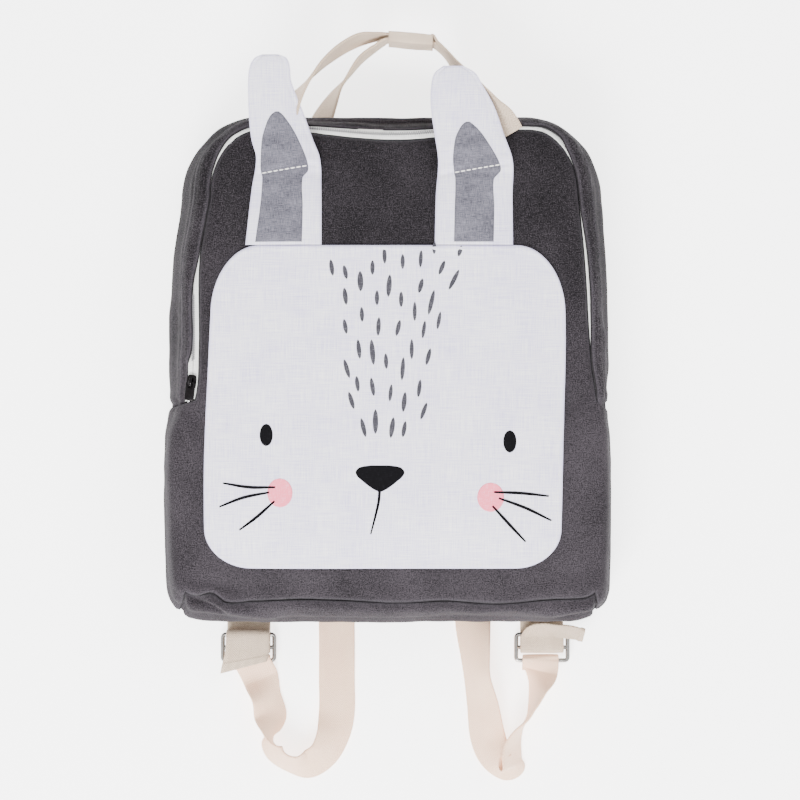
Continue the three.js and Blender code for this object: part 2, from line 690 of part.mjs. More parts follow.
// Webbing folded round a bar from below: sign says on which side of the bar it goes up.
const foldHeight = (thick) => barThick / 2 + gap + thick / 2 + 0.1;
function foldRound(x, y, thick, sign) {
  const reach = 0.8 * barWidth + thick / 2;
  return [-90, -45, 0, 45, 90].map((degrees) => {
    const angle = THREE.MathUtils.degToRad(degrees);
    return {
      at: [x, y + sign * reach * Math.cos(angle), barHeight + foldHeight(thick) * Math.sin(angle)],
      side: [1, 0, 0],
    };
  });
}

// The lower webbing runs from the bag's seam under the first two bars, up round the middle one
// and back over the first, and its tail then lies loose.
function lowerWebbing(strap, tail) {
  const x = strap.tab;
  const over = foldHeight(tabThick);
  const middle = firstBar - barPitch;
  const flat = [1, 0, 0];
  const route = [
    { at: [x, seamBottom + 8, tabThick / 2], side: flat },
    { at: [x, seamBottom - 6, tabThick / 2 + 0.3], side: flat },
    { at: [x, firstBar, barHeight - over], side: flat },
    ...foldRound(x, middle, tabThick, -1),
  ];
  for (const { across, along, over: high, side, share } of tail) {
    const at = [x + across * tabWidth, firstBar + along * tabWidth, barHeight + over + high * tabWidth];
    route.push({ at, side, share });
  }
  return webbing(route, tabWidth, tabThick, 40);
}
const LEFT_TAIL = [
  { across: 0.00, along: -0.03, over: 0.00, side: [1, 0, 0] },
  { across: 0.00, along: 0.10, over: 0.06, side: [1, 0, 0] },
  { across: 0.00, along: 0.02, over: 0.15, side: [1, 0.02, 0] },
  { across: -0.02, along: -0.35, over: 0.13, side: [1, 0.16, 0] },
  { across: -0.10, along: -0.74, over: 0.09, side: [1, 0.26, 0.02] },
];
const RIGHT_TAIL = [
  { across: 0.00, along: -0.03, over: 0.02, side: [1, 0, -0.02], share: 1 },
  { across: 0.02, along: 0.08, over: 0.14, side: [0.93, -0.25, -0.28], share: 0.85 },
  { across: 0.12, along: 0.13, over: 0.28, side: [0.62, -0.55, -0.56], share: 0.62 },
  { across: 0.33, along: 0.12, over: 0.37, side: [0.25, -0.62, -0.74], share: 0.55 },
  { across: 0.64, along: 0.09, over: 0.36, side: [0.10, -0.60, -0.79], share: 0.55 },
  { across: 0.94, along: 0.02, over: 0.31, side: [0.05, -0.55, -0.83], share: 0.50 },
];

// A shoulder strap is sewn round the adjuster's last bar, loops below the bag and goes back under it.
// across is a share of the way from the tab to the returning leg, along of strapDrop, high of strapWidth.
// Where high is 0, the strap's lower edge is on the floor.
const LEFT_LOOP = [
  { across: 0.16, along: 0.500, high: 0.00, side: [1, 0.16, 0.04] },
  { across: 0.21, along: 0.590, high: 0.00, side: [0.95, 0.22, 0.28] },
  { across: 0.25, along: 0.680, high: 0.00, side: [0.75, 0.25, 0.62] },
  { across: 0.28, along: 0.750, high: 0.00, side: [0.58, 0.30, 0.76] },
  { across: 0.30, along: 0.830, high: 0.00, side: [0.66, 0.42, 0.62] },
  { across: 0.42, along: 0.905, high: 0.00, side: [0.42, 0.76, 0.50] },
  { across: 0.66, along: 0.925, high: 0.00, side: [-0.05, 0.86, 0.50] },
  { across: 0.87, along: 0.870, high: 0.00, side: [-0.66, 0.60, 0.44] },
  { across: 0.97, along: 0.770, high: 0.00, side: [-0.92, 0.26, 0.28] },
  { across: 1.00, along: 0.640, high: 0.00, side: [-1, 0.04, 0.08] },
  { across: 1.00, along: 0.420, high: 0.00, side: [-1, 0, 0] },
];
const RIGHT_LOOP = [
  { across: 0.00, along: 0.490, high: 0.00, side: [0.85, 0.05, 0.50] },
  { across: 0.10, along: 0.609, high: 0.00, side: [0.16, -0.10, 0.98] },
  { across: 0.24, along: 0.740, high: 0.12, side: [-0.55, -0.42, 0.72] },
  { across: 0.40, along: 0.860, high: 0.28, side: [-0.80, -0.45, 0.38] },
  { across: 0.55, along: 0.930, high: 0.28, side: [-0.82, -0.50, 0.12] },
  { across: 0.68, along: 0.925, high: 0.08, side: [-0.90, -0.40, 0.05] },
  { across: 0.82, along: 0.840, high: 0.00, side: [-1, -0.22, 0.02] },
  { across: 0.95, along: 0.680, high: 0.00, side: [-1, -0.10, 0] },
  { across: 1.00, along: 0.450, high: 0.00, side: [-1, 0, 0] },
];
function shoulderStrap(strap, loop) {
  const x = strap.tab + strap.shift;
  const last = firstBar - 2 * barPitch;
  const flat = [1, 0, 0];
  const floor = strapThick / 2;
  const route = [
    { at: [x, last - 0.60 * strapWidth, floor + 2.4 * strapThick], side: flat },
    ...foldRound(x, last, strapThick, 1).reverse(),
    { at: [x + strap.shift, last - 0.36 * strapWidth, floor + 0.5], side: flat },
  ];
  for (const { across, along, high, side } of loop) {
    const at = [
      THREE.MathUtils.lerp(strap.tab, strap.back, across),
      panelBottom - along * strapDrop,
      floor + high * strapWidth,
    ];
    route.push({ at, side });
  }
  for (const t of [0, 0.2, 0.6, 1]) {
    const y = THREE.MathUtils.lerp(seamBottom - 10, strapTopEnd, t);
    route.push({ at: [strapX(strap, y), y, floor], side: [-1, 0, 0] });
  }
  return webbing(route, strapWidth, strapThick, 64);
}

// Handles: stations up each leg, x as a share of the way out from the sleeve's end, up of handleRise,
// high as a share of the way from the foot's height to the sleeve's.
const HANDLES = {
  front: { spread: 73, middle: 9, foot: seamHeight + 2.8, footUp: 3.5, layer: 0.5 },
  back: { spread: 55, middle: 9, foot: 16, footUp: 16, layer: -0.5 },
};
const LEG = [
  { x: 1.00, up: 0.00, high: 0.00, upright: 0.00 },
  { x: 0.96, up: 0.20, high: 0.02, upright: 0.20 },
  { x: 0.82, up: 0.50, high: 0.15, upright: 0.60 },
  { x: 0.54, up: 0.80, high: 0.50, upright: 0.85 },
  { x: 0.24, up: 0.96, high: 0.86, upright: 0.97 },
];
const sleeveX = 15.5;
const sleeveY = panelTop + handleRise;
function handle({ spread, middle, foot, footUp, layer }) {
  const offset = (handleThick + 4 * gap) * layer;
  const station = (sign) => ({ x, up, high, upright }) => {
    const turn = (upright * Math.PI) / 2;
    const bend = Math.PI * (0.5 - 0.42 * up);
    return {
      at: [
        THREE.MathUtils.lerp(sleeveX + (sign * sleeveLength) / 2, middle + sign * spread, x),
        THREE.MathUtils.lerp(panelTop + footUp, sleeveY + offset, up),
        THREE.MathUtils.lerp(foot, sleeveHeight, high),
      ],
      side: [Math.cos(turn) * Math.sin(bend), -sign * Math.cos(turn) * Math.cos(bend), Math.sin(turn)],
    };
  };
  const route = [
    ...LEG.map(station(-1)),
    ...[-0.52, 0, 0.52].map((share) => (
      { at: [sleeveX + share * sleeveLength, sleeveY + offset, sleeveHeight], side: [0, 0, 1] }
    )),
    ...LEG.map(station(1)).reverse(),
  ];
  return webbing(route, handleWidth, handleThick, 30);
}
function sleeve() {
  const wall = cloth;
  const [tall, deep] = [handleWidth + 4 * gap, 2 * handleThick + 8 * gap];
  const shape = roundedShape(-tall / 2 - wall, -deep / 2 - wall, tall / 2 + wall, deep / 2 + wall, 2);
  shape.holes.push(roundedShape(-tall / 2, -deep / 2, tall / 2, deep / 2, 0.4));
  return slab(shape, sleeveLength);
}

const CANVAS = { color: 0x4a464b, roughness: 0.95, metalness: 0 };
const WHITE_CLOTH = { color: 0xf4f2fa, roughness: 0.9, metalness: 0 };
const GREY_CLOTH = { color: 0x9f9da7, roughness: 0.92, metalness: 0 };
const ZIP_TAPE = { color: 0xe6e8e2, roughness: 0.85, metalness: 0 };
const TWILL = { color: 0xe2d6cb, roughness: 0.9, metalness: 0 };
const COTTON = { color: 0xf4e6dc, roughness: 0.9, metalness: 0 };
const DARK_METAL = { color: 0x2e2c2e, roughness: 0.35, metalness: 0.9 };
const BRIGHT_METAL = { color: 0xc9c9c6, roughness: 0.3, metalness: 1 };

const backpack = new THREE.Group();
function piece(name, geometry, finish, parent = backpack) {
  const mesh = new THREE.Mesh(geometry, new THREE.MeshStandardMaterial(finish));
  mesh.name = name;
  parent.add(mesh);
  return mesh;
}

piece('front_panel', frontPanel(), CANVAS);
piece('bottom_panel', bottomPanel(), CANVAS);
piece('zip_band', zipBand(), CANVAS);
piece('back_panel', backPanel(), CANVAS);
piece('zip_tape_front', zipTape(gap, tapeMiddle - gap / 2), ZIP_TAPE);
piece('zip_tape_back', zipTape(tapeMiddle + gap / 2, gap + zipWidth), ZIP_TAPE);
piece('zip_coil', zipCoil(), ZIP_TAPE);
piece('face_panel', facePanel(), WHITE_CLOTH);
for (const [side, ear] of Object.entries(EARS)) {
  piece(`ear_${side}`, earFlap(ear), WHITE_CLOTH);
  piece(`ear_inner_${side}`, earInner(ear), GREY_CLOTH);
}

// The slider lies on the closed zip at its lower left end, and its pull hangs from the bridge.
const slider = new THREE.Group();
const sliderUp = wallNormal(sliderAt, tapeMiddle);
const sliderAlong = wallPoint(sliderAt + 0.3, tapeMiddle).sub(wallPoint(sliderAt - 0.3, tapeMiddle)).normalize();
const sliderAcross = sliderAlong.clone().cross(sliderUp).normalize();
slider.matrixAutoUpdate = false;
slider.matrix.makeBasis(sliderAcross, sliderUp.clone().cross(sliderAcross), sliderUp);
slider.matrix.setPosition(wallPoint(sliderAt, tapeMiddle).addScaledVector(sliderUp, gap - 0.2));
backpack.add(slider);
piece('zip_slider', zipSlider(), DARK_METAL, slider);
const pull = piece('zip_pull', zipPull(), DARK_METAL, slider);
pull.position.z = sliderThick + 1.15;
pull.rotation.x = -pullDroop;

for (const [side, strap] of Object.entries(STRAPS)) {
  piece(`lower_webbing_${side}`, lowerWebbing(strap, side === 'left' ? LEFT_TAIL : RIGHT_TAIL), TWILL);
  const ring = piece(`adjuster_${side}`, adjuster(), BRIGHT_METAL);
  ring.position.set(strap.tab, firstBar - barPitch, barHeight);
  piece(`strap_${side}`, shoulderStrap(strap, side === 'left' ? LEFT_LOOP : RIGHT_LOOP), COTTON);
}
for (const [side, loop] of Object.entries(HANDLES)) piece(`handle_${side}`, handle(loop), TWILL);
const sleeveMesh = piece('handle_sleeve', sleeve(), TWILL);
sleeveMesh.rotation.y = Math.PI / 2;
sleeveMesh.position.set(sleeveX, sleeveY, sleeveHeight);

// The origin goes on the floor, under the middle.
const reach = new THREE.Box3().setFromObject(backpack, true);
const middle = reach.getCenter(new THREE.Vector3());
backpack.position.set(-middle.x, -middle.y, -reach.min.z);
backpack.updateMatrixWorld(true);

export default backpack;
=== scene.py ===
import json
import math

import bmesh
import bpy
import numpy as np
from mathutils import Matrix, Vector, noise
from mathutils.kdtree import KDTree


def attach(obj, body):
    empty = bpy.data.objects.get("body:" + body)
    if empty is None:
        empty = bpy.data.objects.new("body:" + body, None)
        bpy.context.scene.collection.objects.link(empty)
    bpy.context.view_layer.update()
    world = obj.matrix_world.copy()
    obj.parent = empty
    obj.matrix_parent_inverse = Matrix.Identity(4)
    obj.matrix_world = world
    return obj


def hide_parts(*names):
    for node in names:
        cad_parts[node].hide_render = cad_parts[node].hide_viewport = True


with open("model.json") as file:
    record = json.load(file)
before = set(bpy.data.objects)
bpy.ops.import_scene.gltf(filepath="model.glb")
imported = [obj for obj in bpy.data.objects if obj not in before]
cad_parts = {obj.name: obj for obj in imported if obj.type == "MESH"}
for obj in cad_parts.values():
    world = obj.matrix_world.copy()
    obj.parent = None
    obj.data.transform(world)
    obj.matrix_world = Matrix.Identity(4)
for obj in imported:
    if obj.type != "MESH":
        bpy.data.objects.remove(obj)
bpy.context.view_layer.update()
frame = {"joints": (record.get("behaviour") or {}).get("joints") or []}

# A kids' canvas backpack with a rabbit's face, empty and lying on its back on a floor.
# Shapes are worked out in millimetres in the part's layout, and set into the frame in metres.
MM = 0.001
SHIFT = np.array([0.289, 1.016, 0.0])

# The bag's body
PANEL_HALF = 144.5
PANEL_BOTTOM = -126.5
PANEL_HEIGHT = 315
PANEL_TOP = PANEL_BOTTOM + PANEL_HEIGHT
TOP_DIP = 7
FLARE_BOTTOM = 17.5
FLARE_TOP = 11.5
SEAM_HEIGHT = 60
CROWN = 13
CLOTH = 1.6
GAP = 0.35

# The zip
ZIP_WIDTH = 7
TAPE_THICK = 0.8
TAPE_MIDDLE = GAP + ZIP_WIDTH / 2
TAPE_SINK = 0.3
TOOTH_PITCH = 1.5
TOOTH_SIZE = (1.5, 0.72, 1.1)
TEETH_FROM = 4.6
BAND_ROLL = 7
SLIDER_BODY = [
    (-2.2, -4.7), (2.2, -4.7), (3.0, -3.2), (3.3, 0.5), (3.1, 3.6),
    (2.2, 4.7), (-2.2, 4.7), (-3.1, 3.6), (-3.3, 0.5), (-3.0, -3.2),
]
SLIDER_THICK, SLIDER_EDGE, SLIDER_HEIGHT = 1.5, 0.35, 0.85
HINGE_HEIGHT = 2.75
BRIDGE_REACH, BRIDGE_FOOT, BRIDGE_RISE, BRIDGE_WIDE, BRIDGE_THICK = 2.9, 1.3, 3.2, 1.0, 0.42
PULL_HALF, PULL_BACK, PULL_LENGTH, PULL_THICK, PULL_EDGE, PULL_DROOP = 3.2, 0.6, 12.5, 1.15, 0.3, 0.1
EYE_HALF, EYE_START, EYE_END = 1.5, 0.75, 3.9

# The face
FACE_MIDDLE = -1.8
FACE_TOP = PANEL_TOP - 78.5
FACE_HEIGHT = PANEL_HEIGHT - 100
FACE_HALF = 120.46
FACE_THICK = 1
FACE_GAP = 0.7
EAR_LENGTH = 126
EAR_HALF = 26
EAR_THICK = 3.2
EAR_HEM = 1.1
EAR_RISE = 7
EAR_FOOT = FACE_TOP + GAP
EAR_TACK = 0.38
TACK_SLOPE = 0.17

# Webbing
STRAP_WIDTH = 25
STRAP_THICK = 1.8
TAB_WIDTH = 30
TAB_THICK = 1.5
TAB_REACH = 19
TAB_TUCK = 18
TAB_FADE = 22
BAR_WIDTH = 3
BAR_THICK = 2.4
BAR_PITCH = BAR_WIDTH + 6
ADJUSTER_SIDE = 3.6
ADJUSTER_WIDTH = TAB_WIDTH + 1.5 + 2 * ADJUSTER_SIDE
BAR_HEIGHT = TAB_THICK + GAP + BAR_THICK / 2 + STRAP_THICK + 0.3
SEAM_BOTTOM = PANEL_BOTTOM - 0.54 * FLARE_BOTTOM
FIRST_BAR = SEAM_BOTTOM - TAB_REACH
HANDLE_WIDTH = 25
HANDLE_THICK = 1.8
SLEEVE_X = 15.5
SLEEVE_Y = PANEL_TOP + 62
SLEEVE_HEIGHT = 40
SLEEVE_LENGTH = 30

# Steps of the fine meshes: FINE for each of the part's own steps round the bag
FINE = 8
COLUMNS, LOW, HIGH = 20 * FINE, 7 * FINE, 10 * FINE
ROWS = LOW + HIGH
AROUND = 2 * (COLUMNS + ROWS)
RIGHT_NOTCH = COLUMNS + LOW
LEFT_NOTCH = AROUND - LOW
SLIDER_PLACE = LEFT_NOTCH - 0.75 * FINE
WALL_STEPS = 46

# Side seams as shares of PANEL_HALF by share of the height: up, left front, right front, left outer, right outer
NOTCH = 0.425
SIDES = [
    (0.00, -0.962, 0.985, -1.040, 1.044),
    (0.20, -0.984, 1.000, -1.056, 1.053),
    (0.36, -0.978, 0.998, -1.054, 1.050),
    (0.425, -0.893, 0.972, -1.030, 1.032),
    (0.53, -0.872, 0.940, -1.028, 1.042),
    (0.72, -0.868, 0.912, -1.010, 1.030),
    (0.85, -0.822, 0.884, -0.968, 1.004),
    (1.00, -0.780, 0.850, -0.940, 0.980),
]
# The wall from the front seam to the back seam: share of the flare, share of the seam's height
WALL = np.array([
    (0.00, 1.00), (0.34, 0.97), (0.62, 0.86), (0.68, 0.74), (0.94, 0.58),
    (1.00, 0.38), (0.88, 0.12), (0.66, 0.00), (0.46, 0.00),
])
# Broad dents of the front panel: across, up, wide, tall as shares of the panel, deep as a share of CROWN
DENTS = [
    (-0.30, 0.93, 0.22, 0.10, 0.16),
    (0.05, 0.94, 0.24, 0.08, 0.22),
    (0.88, 0.46, 0.17, 0.13, 0.24),
    (-0.88, 0.43, 0.17, 0.12, 0.22),
    (-0.82, 0.05, 0.20, 0.10, 0.34),
    (0.20, 0.08, 0.40, 0.06, 0.12),
]
# How much of the zip shows between the front panel and the band's rolled edge, by share of the way
# round from the right end to the left
ZIP_SHOWN = [
    (0.000, 0.4), (0.050, 0.4), (0.080, 2.0), (0.140, 2.2), (0.185, 0.8), (0.235, 0.8), (0.262, 2.8), (0.310, 3.2),
    (0.390, 5.4), (0.435, 6.6), (0.610, 6.6), (0.660, 4.6), (0.715, 3.4), (0.745, 2.6), (0.775, 0.9),
    (0.855, 0.7), (0.880, 3.2), (0.900, 4.7), (0.948, 4.9), (0.963, 7.0), (1.000, 7.2),
]
# The zip band's pressed pleat: share of the way round, and how far below the front seam it runs
PLEAT = [
    (0, 10), (0.12, 11), (0.2, 9.6), (0.26, 13), (0.5, 30), (0.7, 15), (0.8, 12), (1, 13.5),
]
# How panels end, in steps round the bag: short of a seam, or run in under a neighbour and how deep there
PANEL_SHORT, TAPE_SHORT, RUN_UNDER = 0.2, 0.4, 1.5
UNDER_DEPTHS = (CLOTH + 0.6, CLOTH, 0.5)
# Folds of the walls, seen from above: from x, y to x, y, raised by, width
WALL_FOLDS = [
    (-134, -125, -109, -137, -4.8, 3.0),
    (-124, -128, -66, -142, 2.4, 3.6),
    (-142, -120, -136, -137, -2.4, 3.0),
    (-60, -139, 20, -142, 1.2, 3.0),
    (30, -140, 96, -137, -1.2, 3.0),
    (100, -137, 142, -130, 2.5, 3.4),
    (112, -142, 144, -134, -2.1, 2.6),
    (-148, 78, -143, 12, 1.4, 4.5),
    (141, 60, 147, 24, 1.2, 4.0),
    (-128, 178, -100, 192, -1.5, 4.0),
    (-20, 193, 40, 196, -1.2, 4.0),
    (100, 190, 128, 176, 1.4, 4.0),
]
# Soft folds of the front panel's cloth: from x, y to x, y, raised by, width
FOLDS = [
    (-112, 158, -106, 92, -1.3, 5.0),
    (-103, 165, -97, 100, 0.7, 5.0),
    (-119, 120, -119, 60, 0.6, 4.0),
    (-60, 176, -36, 150, -0.9, 7.0),
    (24, 178, 10, 140, -0.9, 8.0),
    (96, 172, 112, 118, -0.8, 6.0),
    (122, 150, 128, 60, 0.8, 5.0),
    (136, 14, 120, 0, -1.6, 4.0),
    (137, 22, 124, 16, 0.9, 3.5),
    (-134, 2, -124, -12, -1.6, 4.0),
    (-136, -8, -128, -26, 0.8, 4.0),
    (-136, -112, -96, -121, -2.2, 3.2),
    (-132, -104, -88, -113, 0.9, 4.0),
    (-60, -118, 10, -112, -0.7, 5.0),
    (88, -119, 132, -106, -1.0, 4.5),
]
# The front panel's soft unevenness: height, size and seed
UNEVEN = [(0.55, 34, 2.0), (0.22, 13, 5.0)]
# Cloth at a seam sinks, and puckers beside it. Each: height, then distance from the seam, then width
SEAM_SINK, SEAM_WIDTH = 1.1, 1.7
PUCKER_HEIGHT, PUCKER_CHANGE, PUCKER_AT, PUCKER_WIDTH, PUCKER_SIZE = 0.4, 0.9, 5, 4.5, 6.5
PLEAT_HEIGHT, PLEAT_WIDTH = 1.0, 0.9
# PLEAT_HIGHLIGHT is the seam distance given to the pleat's ridge, so that the canvas paints a highlight along it
PLEAT_SINK, PLEAT_SINK_AT, PLEAT_SINK_WIDTH, PLEAT_HIGHLIGHT = 0.7, 2.6, 1.3, 0.95
WALL_UNEVEN, WALL_UNEVEN_SIZE = 0.6, 17
STRAPS = {
    "left": dict(tab=-0.6685 * PANEL_HALF, shift=2.5, back=-0.249 * PANEL_HALF, anchor=-0.311 * PANEL_HALF),
    "right": dict(tab=0.737 * PANEL_HALF, shift=-1, back=0.408 * PANEL_HALF, anchor=0.332 * PANEL_HALF),
}
STRAP_TOP = PANEL_TOP - 6


def ease(a, b, v):
    """A smooth step from 0 at a to 1 at b."""
    t = np.clip((v - a) / (b - a), 0, 1)
    return t * t * (3 - 2 * t)


def bell(v):
    return np.exp(-(v**2))


def read(table, at, column):
    """A column of a table, read smoothly between its rows."""
    keys, values = np.array([(row[0], row[column]) for row in table], float).T
    at = np.asarray(at, float)
    b = np.clip(np.searchsorted(keys, at), 1, len(keys) - 1)
    a = b - 1
    before, after = np.maximum(b - 2, 0), np.minimum(b + 1, len(keys) - 1)
    span = keys[b] - keys[a]
    t = np.clip((at - keys[a]) / span, 0, 1)
    rise_a = (values[b] - values[before]) / (keys[b] - keys[before]) * span
    rise_b = (values[after] - values[a]) / (keys[after] - keys[a]) * span
    return (
        (2 * t**3 - 3 * t**2 + 1) * values[a] + (t**3 - 2 * t**2 + t) * rise_a
        + (3 * t**2 - 2 * t**3) * values[b] + (t**3 - t**2) * rise_b
    )


def spline(points, t):
    """The even curve through points at shares t of its spans."""
    points = np.asarray(points, float)
    spans = points.shape[-2] - 1
    first = 2 * points[..., :1, :] - points[..., 1:2, :]
    last = 2 * points[..., -1:, :] - points[..., -2:-1, :]
    held = np.concatenate([first, points, last], axis=-2)
    t = np.clip(np.asarray(t, float), 0, 1) * spans
    i = np.minimum(t.astype(int), spans - 1)
    w = (t - i)[:, None]
    p0, p1, p2, p3 = (held[..., i + k, :] for k in range(4))
    d0, d1, d2 = (np.sqrt(np.linalg.norm(b - a, axis=-1, keepdims=True)) for a, b in ((p0, p1), (p1, p2), (p2, p3)))
    d1 = np.where(d1 < 1e-4, 1.0, d1)
    d0, d2 = np.where(d0 < 1e-4, d1, d0), np.where(d2 < 1e-4, d1, d2)
    m1 = ((p1 - p0) / d0 - (p2 - p0) / (d0 + d1) + (p2 - p1) / d1) * d1
    m2 = ((p2 - p1) / d1 - (p3 - p1) / (d1 + d2) + (p3 - p2) / d2) * d1
    return p1 + m1 * w + (3 * (p2 - p1) - 2 * m1 - m2) * w**2 + (2 * (p1 - p2) + m1 + m2) * w**3


def unit(v):
    return v / np.linalg.norm(v, axis=-1, keepdims=True)


def tree_of(points):
    """A tree that finds the nearest of those points."""
    tree = KDTree(len(points))
    for number, point in enumerate(points):
        tree.insert(point, number)
    tree.balance()
    return tree


def lengths(line):
    """How far along a line each of its points is."""
    return np.concatenate([[0], np.cumsum(np.linalg.norm(np.diff(line, axis=0), axis=1))])


def at_lengths(line, along, where):
    """Points of a line at those lengths, where along holds the length at each of its points."""
    return np.stack([np.interp(where, along, line[:, k]) for k in range(line.shape[1])], -1)


def resample(line, steps):
    along = lengths(line)
    return at_lengths(line, along, np.linspace(0, along[-1], steps + 1))


def rumple(points, size, seed):
    """Soft random swelling of about that size, from -1 to 1."""
    place = Vector((seed, 0.7 * seed, 3.1))
    return np.array([noise.noise(Vector(p) / size + place) for p in points])


def outline(bottom, top, dip, corner, left, right, steps):
    """One outline, anticlockwise from halfway round the lower left corner."""
    wide, tall, wide_low, tall_low = corner
    height = top - bottom

    def side(edge, y):
        y = np.atleast_1d(y)
        return np.column_stack([edge(np.clip((y - bottom) / height, 0, 1)), y])

    def arc(edge, sign, upper, start, end):
        w, t = (wide, tall) if upper else (wide_low, tall_low)
        cy = top - t if upper else bottom + t
        cx = side(edge, cy)[0, 0] - sign * w
        angle = np.radians(np.linspace(start, end, 2 * half + 1))
        return np.column_stack([cx + w * np.cos(angle), cy + t * np.sin(angle)])

    def across(a, b, sag):
        t = np.linspace(0, 1, 80)[1:-1, None]
        line = a + (b - a) * t
        line[:, 1] -= sag * np.sin(np.pi * t[:, 0]) ** 2
        return line

    half = 12
    notch, low, high = bottom + NOTCH * height, bottom + tall_low, top - tall
    climb = lambda edge, a, b: side(edge, np.linspace(a, b, 90))
    br, bl = arc(right, 1, False, -90, 0), arc(left, -1, False, 180, 270)
    tr, tl = arc(right, 1, True, 0, 90), arc(left, -1, True, 90, 180)
    columns, low_steps, high_steps = steps
    stretches = [
        ((bl[half:], across(bl[-1], br[0], 0), br[: half + 1]), columns),
        ((br[half:], climb(right, low, notch)[1:]), low_steps),
        ((climb(right, notch, high), tr[1 : half + 1]), high_steps),
        ((tr[half:], across(tr[-1], tl[0], dip), tl[: half + 1]), columns),
        ((tl[half:], climb(left, high, notch)[1:]), high_steps),
        ((climb(left, notch, low), bl[1 : half + 1]), low_steps),
    ]
    return np.vstack([resample(np.vstack(parts), count)[:-1] for parts, count in stretches])


BODY_STEPS = (COLUMNS, LOW, HIGH)
FRONT_CORNER, OUTER_CORNER = (34, 45, 14, 13), (52, 57, 30, 24)
FRONT = outline(
    PANEL_BOTTOM, PANEL_TOP, TOP_DIP, FRONT_CORNER,
    lambda up: PANEL_HALF * read(SIDES, up, 1), lambda up: PANEL_HALF * read(SIDES, up, 2), BODY_STEPS,
)
# The lower seam wanders: x, and how far up it is pulled there
WANDER = [
    (-140, 1.0), (-128, 2.0), (-118, 4.4), (-108, -1.6), (-90, -0.8), (-50, 0.3),
    (8, -1.9), (40, -0.7), (74, -2.6), (110, 0.3), (140, 1.2),
]
FRONT[:, 1] += read(WANDER, FRONT[:, 0], 1) * (1 - ease(PANEL_BOTTOM + 2, PANEL_BOTTOM + 20, FRONT[:, 1]))
OUTER = outline(
    PANEL_BOTTOM - FLARE_BOTTOM, PANEL_TOP + FLARE_TOP, 0, OUTER_CORNER,
    lambda up: PANEL_HALF * read(SIDES, up, 3), lambda up: PANEL_HALF * read(SIDES, up, 4), BODY_STEPS,
)


def ridge(x, y, x0, y0, x1, y1, width):
    """1 along a line and fading beside it and at its ends."""
    run = np.array([x1 - x0, y1 - y0], float)
    length = np.hypot(*run)
    t = ((x - x0) * run[0] + (y - y0) * run[1]) / length**2
    off = ((x - x0) * run[1] - (y - y0) * run[0]) / length
    return bell(off / width) * bell(np.maximum(np.abs(t - 0.5) - 0.25, 0) / 0.22)


def front_height(x, y):
    """The front panel's height above the floor."""
    x, y = np.asarray(x, float), np.asarray(y, float)
    up, across = (y - PANEL_BOTTOM) / PANEL_HEIGHT, x / PANEL_HALF
    b, a = np.clip(2 * up - 1, -1, 1), np.clip(across, -1, 1)
    z = SEAM_HEIGHT + CROWN * (1 - np.abs(a) ** 3.2) * (1 - np.abs(b) ** 4.5)
    for dent_across, dent_up, wide, tall, deep in DENTS:
        z = z - CROWN * deep * np.exp(-(((across - dent_across) / wide) ** 2) - ((up - dent_up) / tall) ** 2)
    return z


def folded(z, x, y, folds):
    """Heights z with those folds, each from x, y to x, y, raised by and width."""
    for *line, raised, width in folds:
        z = z + raised * ridge(x, y, *line, width)
    return z


def front_surface(x, y):
    """The same with the cloth's folds and soft unevenness."""
    x, y = np.asarray(x, float), np.asarray(y, float)
    z = folded(front_height(x, y), x, y, FOLDS)
    flat = np.column_stack([x.ravel(), y.ravel(), 0 * x.ravel()])
    uneven = sum(height * rumple(flat, size, seed) for height, size, seed in UNEVEN)
    return z + uneven.reshape(x.shape)


def strap_x(strap, y):
    """The middle of a shoulder strap where it lies under the bag."""
    t = np.clip((y - SEAM_BOTTOM) / (STRAP_TOP - SEAM_BOTTOM), 0, 1)
    return strap["back"] + (strap["anchor"] - strap["back"]) * t


def lift(x, y):
    """How far the straps under the bag lift it where they lie."""
    most = np.zeros_like(x)
    step = 2 * PANEL_HALF / 20
    for strap in STRAPS.values():
        off = np.abs(x - strap_x(strap, y)) - STRAP_WIDTH / 2
        most = np.maximum(most, (STRAP_THICK + GAP) * (1 - ease(step, 1.8 * step, off)))
        beside = np.abs(x - strap["tab"]) - TAB_WIDTH / 2
        near = 1 - ease(SEAM_BOTTOM + TAB_TUCK, SEAM_BOTTOM + TAB_TUCK + TAB_FADE, y)
        most = np.maximum(most, near * (TAB_THICK + GAP) * (1 - ease(step, 1.8 * step, beside)))
    return most


def wall_lines(s):
    """The wall's profile at places s round the bag: dense points, and the length down at each."""
    s = np.asarray(s, float)
    i = np.floor(s).astype(int)
    w = (s - i)[:, None]
    inner, outer = (ring[i % AROUND] * (1 - w) + ring[(i + 1) % AROUND] * w for ring in (FRONT, OUTER))
    top = front_height(inner[:, 0], inner[:, 1])
    flat = inner[:, None] + (outer - inner)[:, None] * WALL[None, :, :1]
    z = top[:, None] * WALL[:, 1]
    z = z + lift(flat[..., 0], flat[..., 1]) * np.exp(-z / 8)
    lines = spline(np.concatenate([flat, z[..., None]], -1), np.linspace(0, 1, 161))
    lines[..., 2] = np.maximum(lines[..., 2], 0)
    return lines, np.array([lengths(line) for line in lines])


def wall(s, down):
    """Points of the wall at places s round the bag and down millimetres from the front seam."""
    lines, along = wall_lines(s)
    return np.array([at_lengths(line, run, d) for line, run, d in zip(lines, along, down)])


def wall_depth(s):
    return wall_lines(s)[1][:, -1]


def normals_of(points, quads):
    """Each point's direction out of a sheet of quads."""
    a, b, c, d = (points[quads[:, k]] for k in range(4))
    face = np.cross(c - a, d - b)
    out = np.zeros_like(points)
    for k in range(4):
        np.add.at(out, quads[:, k], face)
    return out / np.maximum(np.linalg.norm(out, axis=1, keepdims=True), 1e-9)


def grid_quads(columns, rows, flip=False):
    i, j = np.meshgrid(np.arange(columns), np.arange(rows))
    a = (j * (columns + 1) + i).ravel()
    quads = np.column_stack([a, a + 1, a + columns + 2, a + columns + 1])
    return quads[:, ::-1] if flip else quads


